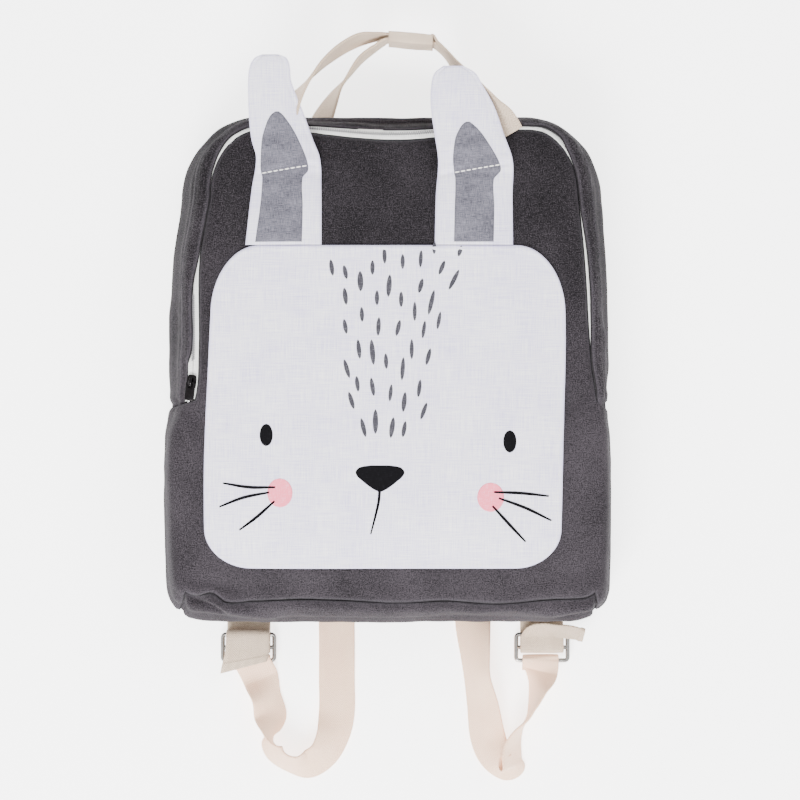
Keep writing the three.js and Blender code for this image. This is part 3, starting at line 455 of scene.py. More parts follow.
def tube_quads(rings, around, first=0):
    """The faces between rings of points, each ring with as many points."""
    i, k = np.meshgrid(np.arange(rings - 1), np.arange(around), indexing="ij")
    a, b = first + around * i + k, first + around * i + (k + 1) % around
    return np.stack([a, b, b + around, a + around], -1).reshape(-1, 4)


def tube_faces(rings, around, first=0):
    """The same with both ends closed."""
    end = np.arange(first, first + around)
    return [*tube_quads(rings, around, first).tolist(), end[::-1].tolist(), (end + around * (rings - 1)).tolist()]


def fill_ring(ring, columns, rows):
    """Points spread over the inside of a ring, from its own points."""
    n = len(ring)
    i, j = np.meshgrid(np.arange(columns + 1), np.arange(rows + 1))
    u, v = (i / columns)[..., None], (j / rows)[..., None]
    bottom, top = ring[i], ring[columns + rows + columns - i]
    left, right = ring[(n - j) % n], ring[columns + j]
    c = [ring[0], ring[columns], ring[columns + rows], ring[2 * columns + rows]]
    flat = (
        bottom * (1 - v) + top * v + left * (1 - u) + right * u
        - c[0] * (1 - u) * (1 - v) - c[1] * u * (1 - v) - c[2] * u * v - c[3] * (1 - u) * v
    )
    return flat.reshape(-1, ring.shape[1])


def fine(name):
    """The name of the fine piece that stands for a part of that name."""
    return f"fine_{name}"


def piece(name, points, faces, finish, cloth=None, body="bag", nodes=(), slot=None):
    """A mesh from points in millimetres, set into the frame. cloth holds each point's place in the cloth."""
    name = fine(name)
    mesh = bpy.data.meshes.new(name)
    mesh.from_pydata(((np.asarray(points, float) + SHIFT) * MM).tolist(), [], [list(map(int, f)) for f in faces])
    mesh.validate()
    mesh.shade_smooth()
    mesh.materials.append(finish.material)
    if cloth is not None:
        layer = mesh.attributes.new("cloth", "FLOAT_VECTOR", "POINT")
        layer.data.foreach_set("vector", np.asarray(cloth, np.float32).ravel())
    obj = bpy.data.objects.new(name, mesh)
    bpy.context.scene.collection.objects.link(obj)
    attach(obj, body)
    if nodes:
        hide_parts(*nodes)
    return obj


def sheet_faces(quads, count):
    """Faces of a closed sheet: its quads, the same below, and its rim."""
    directed = {}
    for q in quads.tolist():
        for a, b in zip(q, q[1:] + q[:1]):
            if (b, a) in directed:
                del directed[(b, a)]
            else:
                directed[(a, b)] = True
    rim = [(b, a, a + count, b + count) for a, b in directed]
    return quads.tolist() + (quads[:, ::-1] + count).tolist() + rim


def cloth_sheet(name, high, quads, thick, finish, cloth, slot):
    """A closed piece of cloth whose outside is the sheet of points high, with its thickness or its inside."""
    low = high - normals_of(high, quads) * thick if np.isscalar(thick) else thick
    points, cloth = np.vstack([high, low]), np.vstack([cloth, cloth])
    return piece(name, points, sheet_faces(quads, len(high)), finish, cloth, nodes=[name], slot=slot)


# Seams: every line where two panels meet, so that the cloth sinks into them and puckers beside them
def seam_points():
    every = np.arange(AROUND)
    lines = [wall(every, np.zeros((AROUND, 1)))[:, 0], wall(every, wall_depth(every)[:, None])[:, 0]]
    zip_run = np.arange(RIGHT_NOTCH, LEFT_NOTCH + 1)
    lines[0] = np.vstack([lines[0][: COLUMNS + 1], lines[0][zip_run]])
    ends = np.array([0, COLUMNS, RIGHT_NOTCH, LEFT_NOTCH])
    for line, run in zip(*wall_lines(ends)):
        lines.append(at_lengths(line, run, np.linspace(0, run[-1], 90)))
    return np.vstack(lines)


SEAM_TREE = tree_of(seam_points())


def seam_distance(points):
    return np.array([SEAM_TREE.find(p)[2] for p in points])


def with_seams(points, quads, away=None, walls=False, crease=None):
    """The sheet sunk into its seams and puckered beside them, and each point's distance from a seam."""
    near = seam_distance(points)
    away = near if away is None else np.minimum(near, away)
    pucker = PUCKER_HEIGHT + PUCKER_CHANGE * rumple(points, PUCKER_SIZE, 9.0)
    raised = -SEAM_SINK * bell(away / SEAM_WIDTH) + pucker * bell((away - PUCKER_AT) / PUCKER_WIDTH)
    if crease is not None:
        beside = np.abs(crease)
        raised = raised + PLEAT_HEIGHT * bell(crease / PLEAT_WIDTH)
        raised = raised - PLEAT_SINK * bell((beside - PLEAT_SINK_AT) / PLEAT_SINK_WIDTH)
        # The pleat's ridge is treated as near a seam, which gives it the canvas's painted highlight
        away = np.minimum(away, PLEAT_HIGHLIGHT + beside)
    if walls:
        raised = raised + WALL_UNEVEN * rumple(points, WALL_UNEVEN_SIZE, 6.0)
        raised = folded(raised, points[:, 0], points[:, 1], WALL_FOLDS)
    moved = points + normals_of(points, quads) * raised[:, None]
    moved[:, 2] = np.maximum(moved[:, 2], points[:, 2].clip(max=0.0))
    return moved, away


# Finishes
def paint(red, green, blue):
    """A colour as a picture gives it, from 0 to 255, for a shader."""
    return tuple(((c / 255 + 0.055) / 1.055) ** 2.4 for c in (red, green, blue)) + (1.0,)


class Value:
    """What a node of a finish gives. Arithmetic on it adds Math nodes."""

    def __init__(self, finish, socket):
        self.finish, self.socket = finish, socket

    def math(self, operation, *others):
        return self.finish.node("ShaderNodeMath", {"operation": operation}, [self, *others])

    def __add__(self, other):
        return self.math("ADD", other)

    __radd__ = __add__

    def __sub__(self, other):
        return self.math("SUBTRACT", other)

    def __rsub__(self, other):
        return self.finish.node("ShaderNodeMath", {"operation": "SUBTRACT"}, [other, self])

    def __mul__(self, other):
        return self.math("MULTIPLY", other)

    __rmul__ = __mul__

    def __truediv__(self, other):
        return self.math("DIVIDE", other)

    def wave(self, pitch):
        """From -1 to 1 and back once for each pitch."""
        return (self * (2 * math.pi / pitch)).math("SINE")

    def clamped(self):
        """Held between 0 and 1."""
        return self.finish.node("ShaderNodeClamp", {}, [self])


class Finish:
    """A material with one shader, fed by a few nodes."""

    def __init__(self, name, roughness=0.9, metallic=0.0, sheen=0.0, specular=0.3):
        self.material = bpy.data.materials.new(name)
        self.material.use_nodes = True
        self.tree = self.material.node_tree
        self.shader = self.tree.nodes["Principled BSDF"]
        sockets = self.shader.inputs
        sockets["Roughness"].default_value = roughness
        sockets["Metallic"].default_value = metallic
        sockets["Specular IOR Level"].default_value = specular
        sockets["Sheen Weight"].default_value = sheen
        sockets["Sheen Roughness"].default_value = 0.5

    def node(self, kind, settings, sockets, out=0):
        """A node with its settings made first, then its sockets filled with values or links."""
        made = self.tree.nodes.new(kind)
        for key, value in settings.items():
            setattr(made, key, value)
        for key, value in sockets.items() if isinstance(sockets, dict) else enumerate(sockets):
            if isinstance(value, Value):
                self.tree.links.new(value.socket, made.inputs[key])
            else:
                made.inputs[key].default_value = value
        return Value(self, made.outputs[out])

    def cloth(self):
        """The place in the cloth in millimetres: across, along, and away from the nearest seam."""
        place = self.node("ShaderNodeAttribute", {"attribute_name": "cloth"}, [], 1)
        apart = self.node("ShaderNodeSeparateXYZ", {}, [place])
        return place, *(Value(self, apart.socket.node.outputs[k]) for k in range(3))

    def noise(self, place, stretch, detail=2.0, rough=0.5):
        """Noise from 0 to 1 with that many features a millimetre along each way of the cloth."""
        at = self.node("ShaderNodeVectorMath", {"operation": "MULTIPLY"}, [place, stretch])
        return self.node("ShaderNodeTexNoise", {}, {"Vector": at, "Scale": 1.0, "Detail": detail, "Roughness": rough})

    def slubs(self, place, stretched, fine_way):
        """Thick places in the threads both ways."""
        ways = ((stretched, fine_way, 0.0), (fine_way, stretched, 0.0))
        across, along = (self.noise(place, way) * 0.5 for way in ways)
        return across + along

    def grain(self, scale, detail):
        """Noise that is fixed to the piece."""
        place = self.node("ShaderNodeTexCoord", {}, [], 3)
        sockets = {"Vector": place, "Scale": scale, "Detail": detail, "Roughness": 0.6}
        return self.node("ShaderNodeTexNoise", {}, sockets)

    def mix(self, share, a, b):
        return self.node(
            "ShaderNodeMix", {"data_type": "RGBA", "clamp_factor": True}, {0: share, 6: a, 7: b}, 2
        )

    def feed(self, socket, value):
        self.tree.links.new(value.socket, self.shader.inputs[socket])

    def bump(self, height, distance):
        self.feed("Normal", self.node("ShaderNodeBump", {}, {"Strength": 1.0, "Distance": distance, "Height": height}))


def plain_weave(across, along, pitch):
    return (across.wave(2 * pitch) * along.wave(2 * pitch)).math("ABSOLUTE")


def herringbone(across, along, pitch, band):
    """Slanting ribs that turn back at each band."""
    zigzag = (across / band).math("PINGPONG", 1.0) * band
    return (along * 0.9 + zigzag).wave(pitch) * 0.5 + 0.5


def canvas():
    """Charcoal cotton canvas: dark and grey threads mixed, with painted light making it paler low down, painted
    highlights beside the seams and painted shade in them.
    """
    f = Finish("canvas", roughness=0.95, sheen=0.06, specular=0.08)
    place, across, along, away = f.cloth()
    height = f.node("ShaderNodeSeparateXYZ", {}, [f.node("ShaderNodeTexCoord", {}, [], 3)], 1)
    thread = plain_weave(across, along, 0.62)
    speck = f.noise(place, (1.35, 1.35, 0.0), 3.0, 0.75)
    slub = f.slubs(place, 0.25, 1.4)
    cloudy = f.noise(place, (0.022, 0.018, 0.0))
    # Painted light: the canvas is painted paler below the upper part of the bag, as if more light fell on the lower
    # part
    paler = (0.115 - height) * 9.0
    # Painted highlight: a paler colour, paint(84, 80, 86), in a band beside each seam, beside the band's open edge and
    # along the pleat's ridge
    seam_highlight = ((2.6 - away) * 0.35).clamped() * speck
    # Painted shade: the canvas is painted near black right in the seams and at the band's open edge
    sunk = ((0.9 - away) * 1.6).clamped()
    shade = (speck - 0.5) * 3.4 + (slub - 0.5) * 1.5 + (cloudy - 0.5) * 0.7 + paler.clamped() * 0.26 + 0.26
    tone = f.mix(shade, paint(9, 8, 10), paint(67, 62, 67))
    highlighted = f.mix(seam_highlight, tone, paint(84, 80, 86))
    f.feed("Base Color", f.mix(sunk * 0.8, highlighted, paint(12, 10, 12)))
    f.feed("Roughness", 0.98 - thread * 0.08)
    f.bump(thread * 0.6 + speck * 0.7 + slub * 0.8, 0.00025)
    return f


def cotton(name, light, dark, pitch=0.55, shine=0.25):
    """Thin plain cotton: fine threads with slubs both ways, and painted lilac shade towards its edges."""
    f = Finish(name, roughness=0.85, sheen=shine, specular=0.25)
    place, across, along, away = f.cloth()
    thread = plain_weave(across, along, pitch)
    slub = f.slubs(place, 0.06, 1.6)
    cloudy = f.noise(place, (0.03, 0.03, 0.0))
    # Painted shade: the dark lilac colour is mixed in towards each piece's edges
    edge = ((1.8 - away) * 0.35).clamped()
    shade = (slub - 0.5) * 2.2 + (cloudy - 0.5) * 0.5 + thread * 0.2 + 0.45
    tone = f.mix(shade, dark, light)
    f.feed("Base Color", f.mix(edge * 0.9, tone, dark))
    f.feed("Roughness", 0.9 - thread * 0.1)
    f.bump(thread + slub * 1.6, 0.00014)
    return f


def chambray():
    """Grey cloth woven from dark and white threads."""
    f = Finish("grey_cloth", roughness=0.9, sheen=0.1, specular=0.2)
    place, across, along, away = f.cloth()
    warp = f.noise(place, (2.4, 0.22, 0.0))
    weft = f.noise(place, (0.22, 2.4, 0.0))
    speck = f.noise(place, (1.9, 1.9, 0.0), 2.0, 0.7)
    cloudy = f.noise(place, (0.05, 0.12, 0.0))
    thread = plain_weave(across, along, 0.6)
    shade = (warp - 0.5) * 1.3 + (weft - 0.5) * 1.5 + (speck - 0.5) * 1.3 + (cloudy - 0.5) * 0.8 + 0.45
    tone = f.mix(shade, paint(62, 61, 70), paint(126, 124, 136))
    # Painted shade: darker at the patch's edges and along the fold just above the sewn line
    edge = ((1.1 - away) * 0.8).clamped()
    f.feed("Base Color", f.mix(edge * 0.6, tone, paint(66, 65, 75)))
    f.feed("Roughness", 0.92 - thread * 0.08)
    f.bump(thread + warp + weft, 0.00016)
    return f


def webbing_finish(name, light, dark, pitch, band, depth, shine):
    """Cotton webbing with slanting ribs and firm selvedges."""
    f = Finish(name, roughness=0.8, sheen=shine, specular=0.3)
    place, across, along, away = f.cloth()
    rib = herringbone(across, along, pitch, band)
    speck = f.noise(place, (0.9, 0.9, 0.0), 3.0, 0.65)
    cloudy = f.noise(place, (0.05, 0.03, 0.0))
    edge = ((1.4 - away) * 0.6).clamped()
    shade = rib * 0.45 + (speck - 0.5) * 1.2 + (cloudy - 0.5) * 0.7 + 0.3
    f.feed("Base Color", f.mix(edge * 0.35, f.mix(shade, dark, light), dark))
    f.feed("Roughness", 0.9 - rib * 0.15)
    f.bump(rib + speck * 0.6 - edge * 0.4, depth)
    return f


def ink(name, colour, paler):
    """A print that the cotton's threads show through."""
    f = Finish(name, roughness=0.85, specular=0.08)
    place, across, along, away = f.cloth()
    thread = plain_weave(across, along, 0.55)
    slub = f.slubs(place, 0.25, 1.6)
    f.feed("Base Color", f.mix((slub - 0.52) * 5.0 + thread * 0.12, colour, paler))
    f.feed("Roughness", 0.85 - thread * 0.1)
    f.bump(thread + slub * 1.6, 0.00012)
    return f


def nickel(name, light, dark, roughness):
    """Plated metal with fine scuffs."""
    f = Finish(name, roughness=roughness, metallic=1.0, specular=0.5)
    scuff = f.grain(900.0, 4.0)
    f.feed("Base Color", f.mix(scuff, dark, light))
    f.feed("Roughness", scuff * 0.18 + (roughness - 0.06))
    f.bump(scuff, 0.00002)
    return f


def plain_thread(name, colour, dark):
    """Twisted thread, also for the zip's teeth."""
    f = Finish(name, roughness=0.8, sheen=0.2, specular=0.3)
    twist = f.grain(2500.0, 2.0)
    f.feed("Base Color", f.mix(twist, dark, colour))
    f.bump(twist, 0.00005)
    return f


CANVAS = canvas()
# Its lilac dark colour also serves as the painted shade at the cloth's edges
WHITE = cotton("white_cotton", paint(255, 254, 255), paint(196, 189, 228))
GREY = chambray()
TAPE = cotton("zip_tape", paint(246, 246, 244), paint(186, 188, 182), pitch=0.8, shine=0.1)
TEETH = plain_thread("zip_teeth", paint(150, 149, 152), paint(104, 103, 107))
TWILL = webbing_finish("twill_webbing", paint(238, 218, 196), paint(170, 144, 120), 1.25, 3.0, 0.0004, 0.1)
COTTON = webbing_finish("cotton_webbing", paint(255, 222, 194), paint(226, 182, 152), 1.5, 3.2, 0.0002, 0.25)
THREAD = plain_thread("stitch_thread", paint(252, 250, 247), paint(222, 218, 214))
BLACK_INK = ink("black_ink", paint(7, 6, 9), paint(20, 19, 23))
GREY_INK = ink("grey_ink", paint(60, 59, 65), paint(110, 108, 116))
PINK_INK = ink("pink_ink", paint(250, 128, 150), paint(252, 176, 192))
DARK_NICKEL = nickel("dark_nickel", paint(40, 38, 39), paint(17, 16, 17), 0.22)
BRIGHT_NICKEL = nickel("bright_nickel", paint(176, 173, 169), paint(112, 109, 107), 0.2)


# The body's panels
def front_panel():
    flat = fill_ring(FRONT, COLUMNS, ROWS)
    points = [np.column_stack([flat, front_surface(flat[:, 0], flat[:, 1])])]
    quads = [grid_quads(COLUMNS, ROWS)]
    places = [flat]
    count = len(flat)

    def edge_of(s):
        if s <= COLUMNS:
            return s
        if s <= COLUMNS + ROWS:
            return (s - COLUMNS) * (COLUMNS + 1) + COLUMNS
        return ((AROUND - s) % AROUND) * (COLUMNS + 1)

    for start, end in ((COLUMNS, RIGHT_NOTCH), (LEFT_NOTCH, AROUND)):
        s = np.arange(start, end + 1).astype(float)
        index = np.array([edge_of(int(k)) for k in s])
        s[0] += PANEL_SHORT
        s[-1] -= PANEL_SHORT
        depth = wall_depth(s) - GAP
        down = depth[:, None] * np.linspace(0, 1, WALL_STEPS + 1)
        strip = wall(s, down)
        # The strip's first points are the front panel's own, so its height follows theirs and fades.
        step = points[0][index] - strip[:, 0]
        strip = strip + step[:, None] * np.exp(-down / 9)[..., None]
        out = np.column_stack([np.where(s < AROUND / 2, 1, -1), np.zeros(len(s))])
        places.append((flat[index][:, None] + down[..., None] * out[:, None])[:, 1:].reshape(-1, 2))
        points.append(strip[:, 1:].reshape(-1, 3))
        grid = np.column_stack([index, count + np.arange(len(s) * WALL_STEPS).reshape(len(s), -1)])
        a, b, c, d = grid[:-1, :-1], grid[:-1, 1:], grid[1:, 1:], grid[1:, :-1]
        quads.append(np.stack([a, b, c, d], -1).reshape(-1, 4))
        count += len(s) * WALL_STEPS
    points, quads, places = np.vstack(points), np.vstack(quads), np.vstack(places)
    points, away = with_seams(points, quads, walls=True)
    obj = cloth_sheet("front_panel", points, quads, CLOTH, CANVAS, np.column_stack([places, away]), "canvas")
    area = sheet_area(points, quads)


def sheet_area(points, quads):
    """The area of a sheet of quads, in square metres."""
    a, b, c, d = (points[quads[:, k]] for k in range(4))
    return float(np.linalg.norm(np.cross(c - a, d - b), axis=1).sum() / 2) * MM**2


def strip(s, first, last, steps):
    """Points of the wall at places s, from first to last millimetres down, stored row by row."""
    first = np.reshape(first, (-1, 1)) + 0 * last[:, None]
    down = first + (last[:, None] - first) * np.linspace(0, 1, steps + 1)
    return wall(s, down), down


def zip_shown(s):
    return read(ZIP_SHOWN, (np.asarray(s) - RIGHT_NOTCH) / (LEFT_NOTCH - RIGHT_NOTCH), 1)


def wall_panel(name, start, end, over_zip=False):
    """The wall from start to end round the bag, from the front seam or from the zip to the back seam."""
    s = np.arange(start, end + 1).astype(float)
    s[0] -= RUN_UNDER
    s[-1] += RUN_UNDER
    first = GAP + zip_shown(s) if over_zip else GAP
    points, down = strip(s, first, wall_depth(s) - GAP, WALL_STEPS)
    open_edge = pleat = None
    if over_zip:
        open_edge = (down - first[:, None]).ravel()
        pleat = (down - read(PLEAT, (s - start) / (end - start), 1)[:, None]).ravel()
    along = lengths(points[:, WALL_STEPS // 2])
    place = np.stack([np.broadcast_to(along[:, None], down.shape), down], -1).reshape(-1, 2)
    quads = grid_quads(WALL_STEPS, len(s) - 1)
    points, away = with_seams(points.reshape(-1, 3), quads, open_edge, walls=True, crease=pleat)
    if over_zip:
        # The band's edge is rolled under and lies on the zip's tape, but not where the slider needs its room
        edge = ZIP_WIDTH + 2 * GAP
        rise = (CLOTH + 0.1) * (1 - ease(edge, edge + BAND_ROLL, down)) * ease(7.3, 6.2, zip_shown(s))[:, None]
        rise = rise.ravel() + 0.9 * bell(open_edge / 1.5) * (rise.ravel() > 0.5)
        points = points + normals_of(points, quads) * rise[:, None]
    # The ends run in under the front panel's edges
    under = np.zeros(len(s))
    under[[0, 1, 2]] = under[[-1, -2, -3]] = UNDER_DEPTHS
    points = points - normals_of(points, quads) * under.repeat(WALL_STEPS + 1)[:, None]
    obj = cloth_sheet(name, points, quads, CLOTH, CANVAS, np.column_stack([place, away]), "canvas")
    sheet_area(points, quads)


def back_panel():
    s = np.arange(AROUND)
    ring = wall(s, wall_depth(s)[:, None])[:, 0]
    flat = fill_ring(ring[:, :2], COLUMNS, ROWS)
    high = np.column_stack([flat, lift(flat[:, 0], flat[:, 1])])
    place = np.column_stack([flat, seam_distance(high)])
    quads = grid_quads(COLUMNS, ROWS, flip=True)
    obj = cloth_sheet("back_panel", high, quads, high + [0, 0, CLOTH], CANVAS, place, "canvas")


# The zip
def zip_tape(name, first, last):
    """The strip of one tape that shows."""
    s = np.arange(RIGHT_NOTCH, LEFT_NOTCH + 1).astype(float)
    s[0] += TAPE_SHORT
    s[-1] -= TAPE_SHORT
    steps = 6
    points, down = strip(s, first, np.full(len(s), float(last)), steps)
    quads = grid_quads(steps, len(s) - 1)
    along = lengths(points[:, 0])
    place = np.stack([np.broadcast_to(along[:, None], down.shape), down, 0 * down + 9], -1).reshape(-1, 3)
    points = points.reshape(-1, 3)
    points = points - normals_of(points, quads) * TAPE_SINK
    obj = cloth_sheet(name, points, quads, TAPE_THICK, TAPE, place, "zip_tape")
    sheet_area(points, quads)


def beads(name, centres, alongs, ups, size, finish, **place):
    """A row of small rounded beads: size is their length, width and height."""
    rings = [(-0.5, 0.45), (-0.28, 0.95), (0.28, 0.95), (0.5, 0.45)]
    angles = np.radians(np.arange(0, 360, 60) + 30)
    points, faces = [], []
    for centre, along, up in zip(centres, alongs, ups):
        along = unit(along)
        side = unit(np.cross(along, up))
        over = np.cross(side, along)
        first = len(points)
        for at, girth in rings:
            for angle in angles:
                points.append(
                    centre + along * at * size[0]
                    + side * (math.cos(angle) * girth * size[1] / 2)
                    + over * (math.sin(angle) * girth * size[2] / 2)
                )
        faces += tube_faces(len(rings), len(angles), first)
    return piece(name, points, faces, finish, **place)


def zip_teeth():
    """The teeth from the right end to the slider, where enough of the zip shows."""
    s = np.arange(RIGHT_NOTCH + 3, SLIDER_PLACE - 6, 0.5)
    middle, down = strip(s, TAPE_MIDDLE - 1, np.full(len(s), TAPE_MIDDLE + 1.0), 2)
    line = middle[:, 1]
    run = lengths(line)
    spots = np.arange(0, run[-1], TOOTH_PITCH / 2)
    spots = spots[np.interp(spots, run, zip_shown(s)) > TEETH_FROM]
    across = unit(at_lengths(middle[:, 2] - middle[:, 0], run, spots))
    along = at_lengths(line, run, spots + 0.4) - at_lengths(line, run, spots - 0.4)
    up = unit(np.cross(across, along))
    sign = np.where(np.arange(len(spots)) % 2, 0.42, -0.42)[:, None]
    centres = at_lengths(line, run, spots) + across * sign + up * (0.35 + GAP - TAPE_SINK)
    return beads("zip_teeth", centres, across, up, TOOTH_SIZE, TEETH, nodes=["zip_coil"], slot="zip_coil")


def hinge():
    """The pull's hinge in the part's millimetres: its middle, the way across the zip, and its two others."""
    joint = frame["joints"][0]
    at = np.array(joint["pos_m"]) / MM - SHIFT
    across = np.array(joint["axis"])
    near = wall(np.array([SLIDER_PLACE - 2, SLIDER_PLACE + 2]), np.full((2, 1), TAPE_MIDDLE))
    along = near[1, 0] - near[0, 0]
    up = unit(np.cross(across, along))
    up = up if up[2] > 0 else -up
    return at, across, np.cross(up, across), up


def loft(name, rings, finish, **place):
    """A closed body through rings of points, each ring with as many points."""
    return piece(name, np.vstack(rings), tube_faces(len(rings), len(rings[0])), finish, **place)


def rounded_plate(name, outline_points, thick, edge, base, axes, finish, holes=(), **place):
    """A flat plate with rounded edges, from an outline and holes in its own plane."""
    x, y, z = axes
    curve = bpy.data.curves.new(name, "CURVE")
    curve.dimensions = "2D"
    curve.fill_mode = "BOTH"
    curve.extrude = thick / 2 - edge
    curve.bevel_depth = edge
    curve.bevel_resolution = 2
    curve.offset = -edge
    for line in (outline_points, *holes):
        run = curve.splines.new("POLY")
        run.points.add(len(line) - 1)
        for point, (u, v) in zip(run.points, line):
            point.co = (u, v, 0, 1)
        run.use_cyclic_u = True
    flat = bpy.data.objects.new(name + "_outline", curve)
    bpy.context.scene.collection.objects.link(flat)
    bpy.context.view_layer.update()
    made = flat.evaluated_get(bpy.context.evaluated_depsgraph_get()).to_mesh()
    local = np.array([v.co[:] for v in made.vertices])
    faces = [list(p.vertices) for p in made.polygons]
    bpy.data.objects.remove(flat)
    points = base + local[:, :1] * x + local[:, 1:2] * y + local[:, 2:] * z
    weld(piece(name, points, faces, finish, **place))


def weld(obj):
    """Joins points that lie together, so that the piece is closed."""
    work = bmesh.new()
    work.from_mesh(obj.data)
    bmesh.ops.remove_doubles(work, verts=work.verts, dist=2e-6)
    bmesh.ops.recalc_face_normals(work, faces=work.faces)
    work.to_mesh(obj.data)
    work.free()
    obj.data.shade_smooth()


def rounded_outline(x0, y0, x1, y1, r, steps=5):
    """A rectangle's outline with rounded corners."""
    corners = [(x1 - r, y0 + r, -90), (x1 - r, y1 - r, 0), (x0 + r, y1 - r, 90), (x0 + r, y0 + r, 180)]
    line = []
    for cx, cy, start in corners:
        for k in range(steps + 1):
            angle = math.radians(start + 90 * k / steps)
            line.append((cx + r * math.cos(angle), cy + r * math.sin(angle)))
    return line


def zip_slider():
    """A shield-shaped body, wide at the nose where the rows part, and its bridge."""
    at, across, toward, up = hinge()
    base = at - up * HINGE_HEIGHT
    rounded_plate(
        "zip_slider", smooth_loop(SLIDER_BODY, 40), SLIDER_THICK, SLIDER_EDGE, base + up * SLIDER_HEIGHT,
        (across, toward, up), DARK_NICKEL, nodes=["zip_slider"], slot="dark_metal",
    )
    # The bridge that the pull hangs from, a bent bar
    rings = []
    for turn in np.linspace(0, math.pi, 13):
        lean = math.cos(turn)
        rise = BRIDGE_FOOT + BRIDGE_RISE * abs(math.sin(turn)) ** 0.55
        middle = base - toward * BRIDGE_REACH * lean + up * rise
        out = (up * (1 - abs(lean)) + toward * lean) * BRIDGE_THICK
        rings.append(np.array([
            middle + across * BRIDGE_WIDE * math.cos(a) + out * math.sin(a)
            for a in np.linspace(0, 2 * math.pi, 10, endpoint=False)
        ]))
    weld(loft("slider_bridge", rings[::-1], DARK_NICKEL, slot="dark_metal"))


def smooth_loop(points, steps):
    """A smooth closed outline through a few points."""
    held = np.array(list(points) + list(points[:3]), float)
    spans = len(held) - 1
    t = np.linspace(1, spans - 1, steps + 1)[:-1] / spans
    return spline(held, t)


def zip_pull():
    at, across, toward, up = hinge()
    tilt = toward * math.cos(PULL_DROOP) - up * math.sin(PULL_DROOP)
    lifted = up * math.cos(PULL_DROOP) + toward * math.sin(PULL_DROOP)
    shape = rounded_outline(-PULL_HALF, -PULL_BACK, PULL_HALF, PULL_LENGTH, 1.5, 6)
    eye = rounded_outline(-EYE_HALF, EYE_START, EYE_HALF, EYE_END, 0.5, 3)
    rounded_plate(
        "zip_pull", shape, PULL_THICK, PULL_EDGE, at, (across, tilt, lifted), DARK_NICKEL, holes=[eye[::-1]],
        body="zip_pull", nodes=["zip_pull"], slot="dark_metal",
    )


# The face
FACE_SIDES = [(0.00, -1.000, 0.972), (0.35, -1.000, 0.985), (0.70, -0.972, 1.000), (1.00, -0.940, 0.985)]
FACE_STEPS = (160, 50, 60)
FACE_RING = outline(
    FACE_TOP - FACE_HEIGHT, FACE_TOP, 0,
    tuple(FACE_HALF * share for share in (0.27, 0.38, 0.26, 0.22)),
    lambda up: FACE_MIDDLE + FACE_HALF * read(FACE_SIDES, up, 1),
    lambda up: FACE_MIDDLE + FACE_HALF * read(FACE_SIDES, up, 2), FACE_STEPS,
)


def face_surface(x, y):
    """The top of the face panel."""
    return front_surface(x, y) + FACE_GAP + FACE_THICK


def face_panel():
    columns, rows = FACE_STEPS[0], FACE_STEPS[1] + FACE_STEPS[2]
    flat = fill_ring(FACE_RING, columns, rows)
    tree = tree_of(np.column_stack([FACE_RING, 0 * FACE_RING[:, 0]]))
    found = [tree.find((x, y, 0)) for x, y in flat]
    away = np.array([f[2] for f in found])
    pull = np.array([math.sin(f[1] * 1.9) + 0.8 * math.sin(f[1] * 0.83 + 1) for f in found])
    base = front_surface(flat[:, 0], flat[:, 1]) + FACE_GAP
    hem = 0.45 * ease(4.2, 2.6, away) - 0.34 * bell((away - 2.9) / 0.7)
    pucker = 0.10 * pull * bell((away - 3.4) / 2.6)
    round_off = -0.85 * bell(away / 0.8)
    high = np.column_stack([flat, base + FACE_THICK + hem + pucker + round_off])
    low = np.column_stack([flat, base])
    quads = grid_quads(columns, rows)
    obj = cloth_sheet("face_panel", high, quads, low, WHITE, np.column_stack([flat, away]), "white_cloth")
    sheet_area(high, grid_quads(columns, rows))


def stitches(name, line, up, finish, length=2.6, space=1.1, thick=0.45, **place):
    """A sewn row along a line: short rounded stitches half sunk in the cloth."""
    run = lengths(line)
    spots = np.arange(0.6 * length, run[-1] - 0.5 * length, length + space)
    centres = at_lengths(line, run, spots)
    alongs = at_lengths(line, run, spots + 0.4) - at_lengths(line, run, spots - 0.4)
    ups = np.tile(np.array(up, float), (len(spots), 1))
    beads(name, centres + ups * thick * 0.15, alongs, ups, (length, thick * 1.25, thick), finish, **place)


def face_stitches():
    ring = np.vstack([FACE_RING, FACE_RING[:1]])
    inward = unit(np.column_stack([-np.gradient(ring[:, 1]), np.gradient(ring[:, 0])]))
    line = ring + inward * 2.9
    base = face_surface(line[:, 0], line[:, 1]) - 0.06
    stitches("face_stitches", np.column_stack([line, base]), (0, 0, 1), THREAD)


def stroke(line, widths, surface, raised=0.13, sunk=0.25, columns=6, steps=22):
    """One printed mark: a thin skin on a surface, along a line, with its half width at shares of it."""
    line = resample(spline(np.array(line, float), np.linspace(0, 1, 60)), steps)
    t = np.linspace(0, 1, steps + 1)
    half = widths(t) if callable(widths) else read(widths, t, 1)
    run = unit(np.gradient(line, axis=0))
    side = np.column_stack([run[:, 1], -run[:, 0]])
    c = np.linspace(-1, 1, columns + 1)
    flat = (line[:, None] + side[:, None] * (half[:, None] * c)[..., None]).reshape(-1, 2)
    z = surface(flat[:, 0], flat[:, 1])
    high = np.column_stack([flat, z + raised])
    low = np.column_stack([flat, z - sunk])
    return high, low, grid_quads(columns, steps)


def marks(name, strokes, finish, slot="white_cloth"):
    """Printed marks of one colour, as one piece."""
    points, faces, places = [], [], []
    count = 0
    for high, low, quads in strokes:
        faces += [[v + count for v in f] for f in sheet_faces(quads, len(high))]
        points += [high, low]
        count += 2 * len(high)
    points = np.vstack(points)
    return piece(name, points, faces, finish, np.column_stack([points[:, :2], 0 * points[:, 0] + 9]), slot=slot)


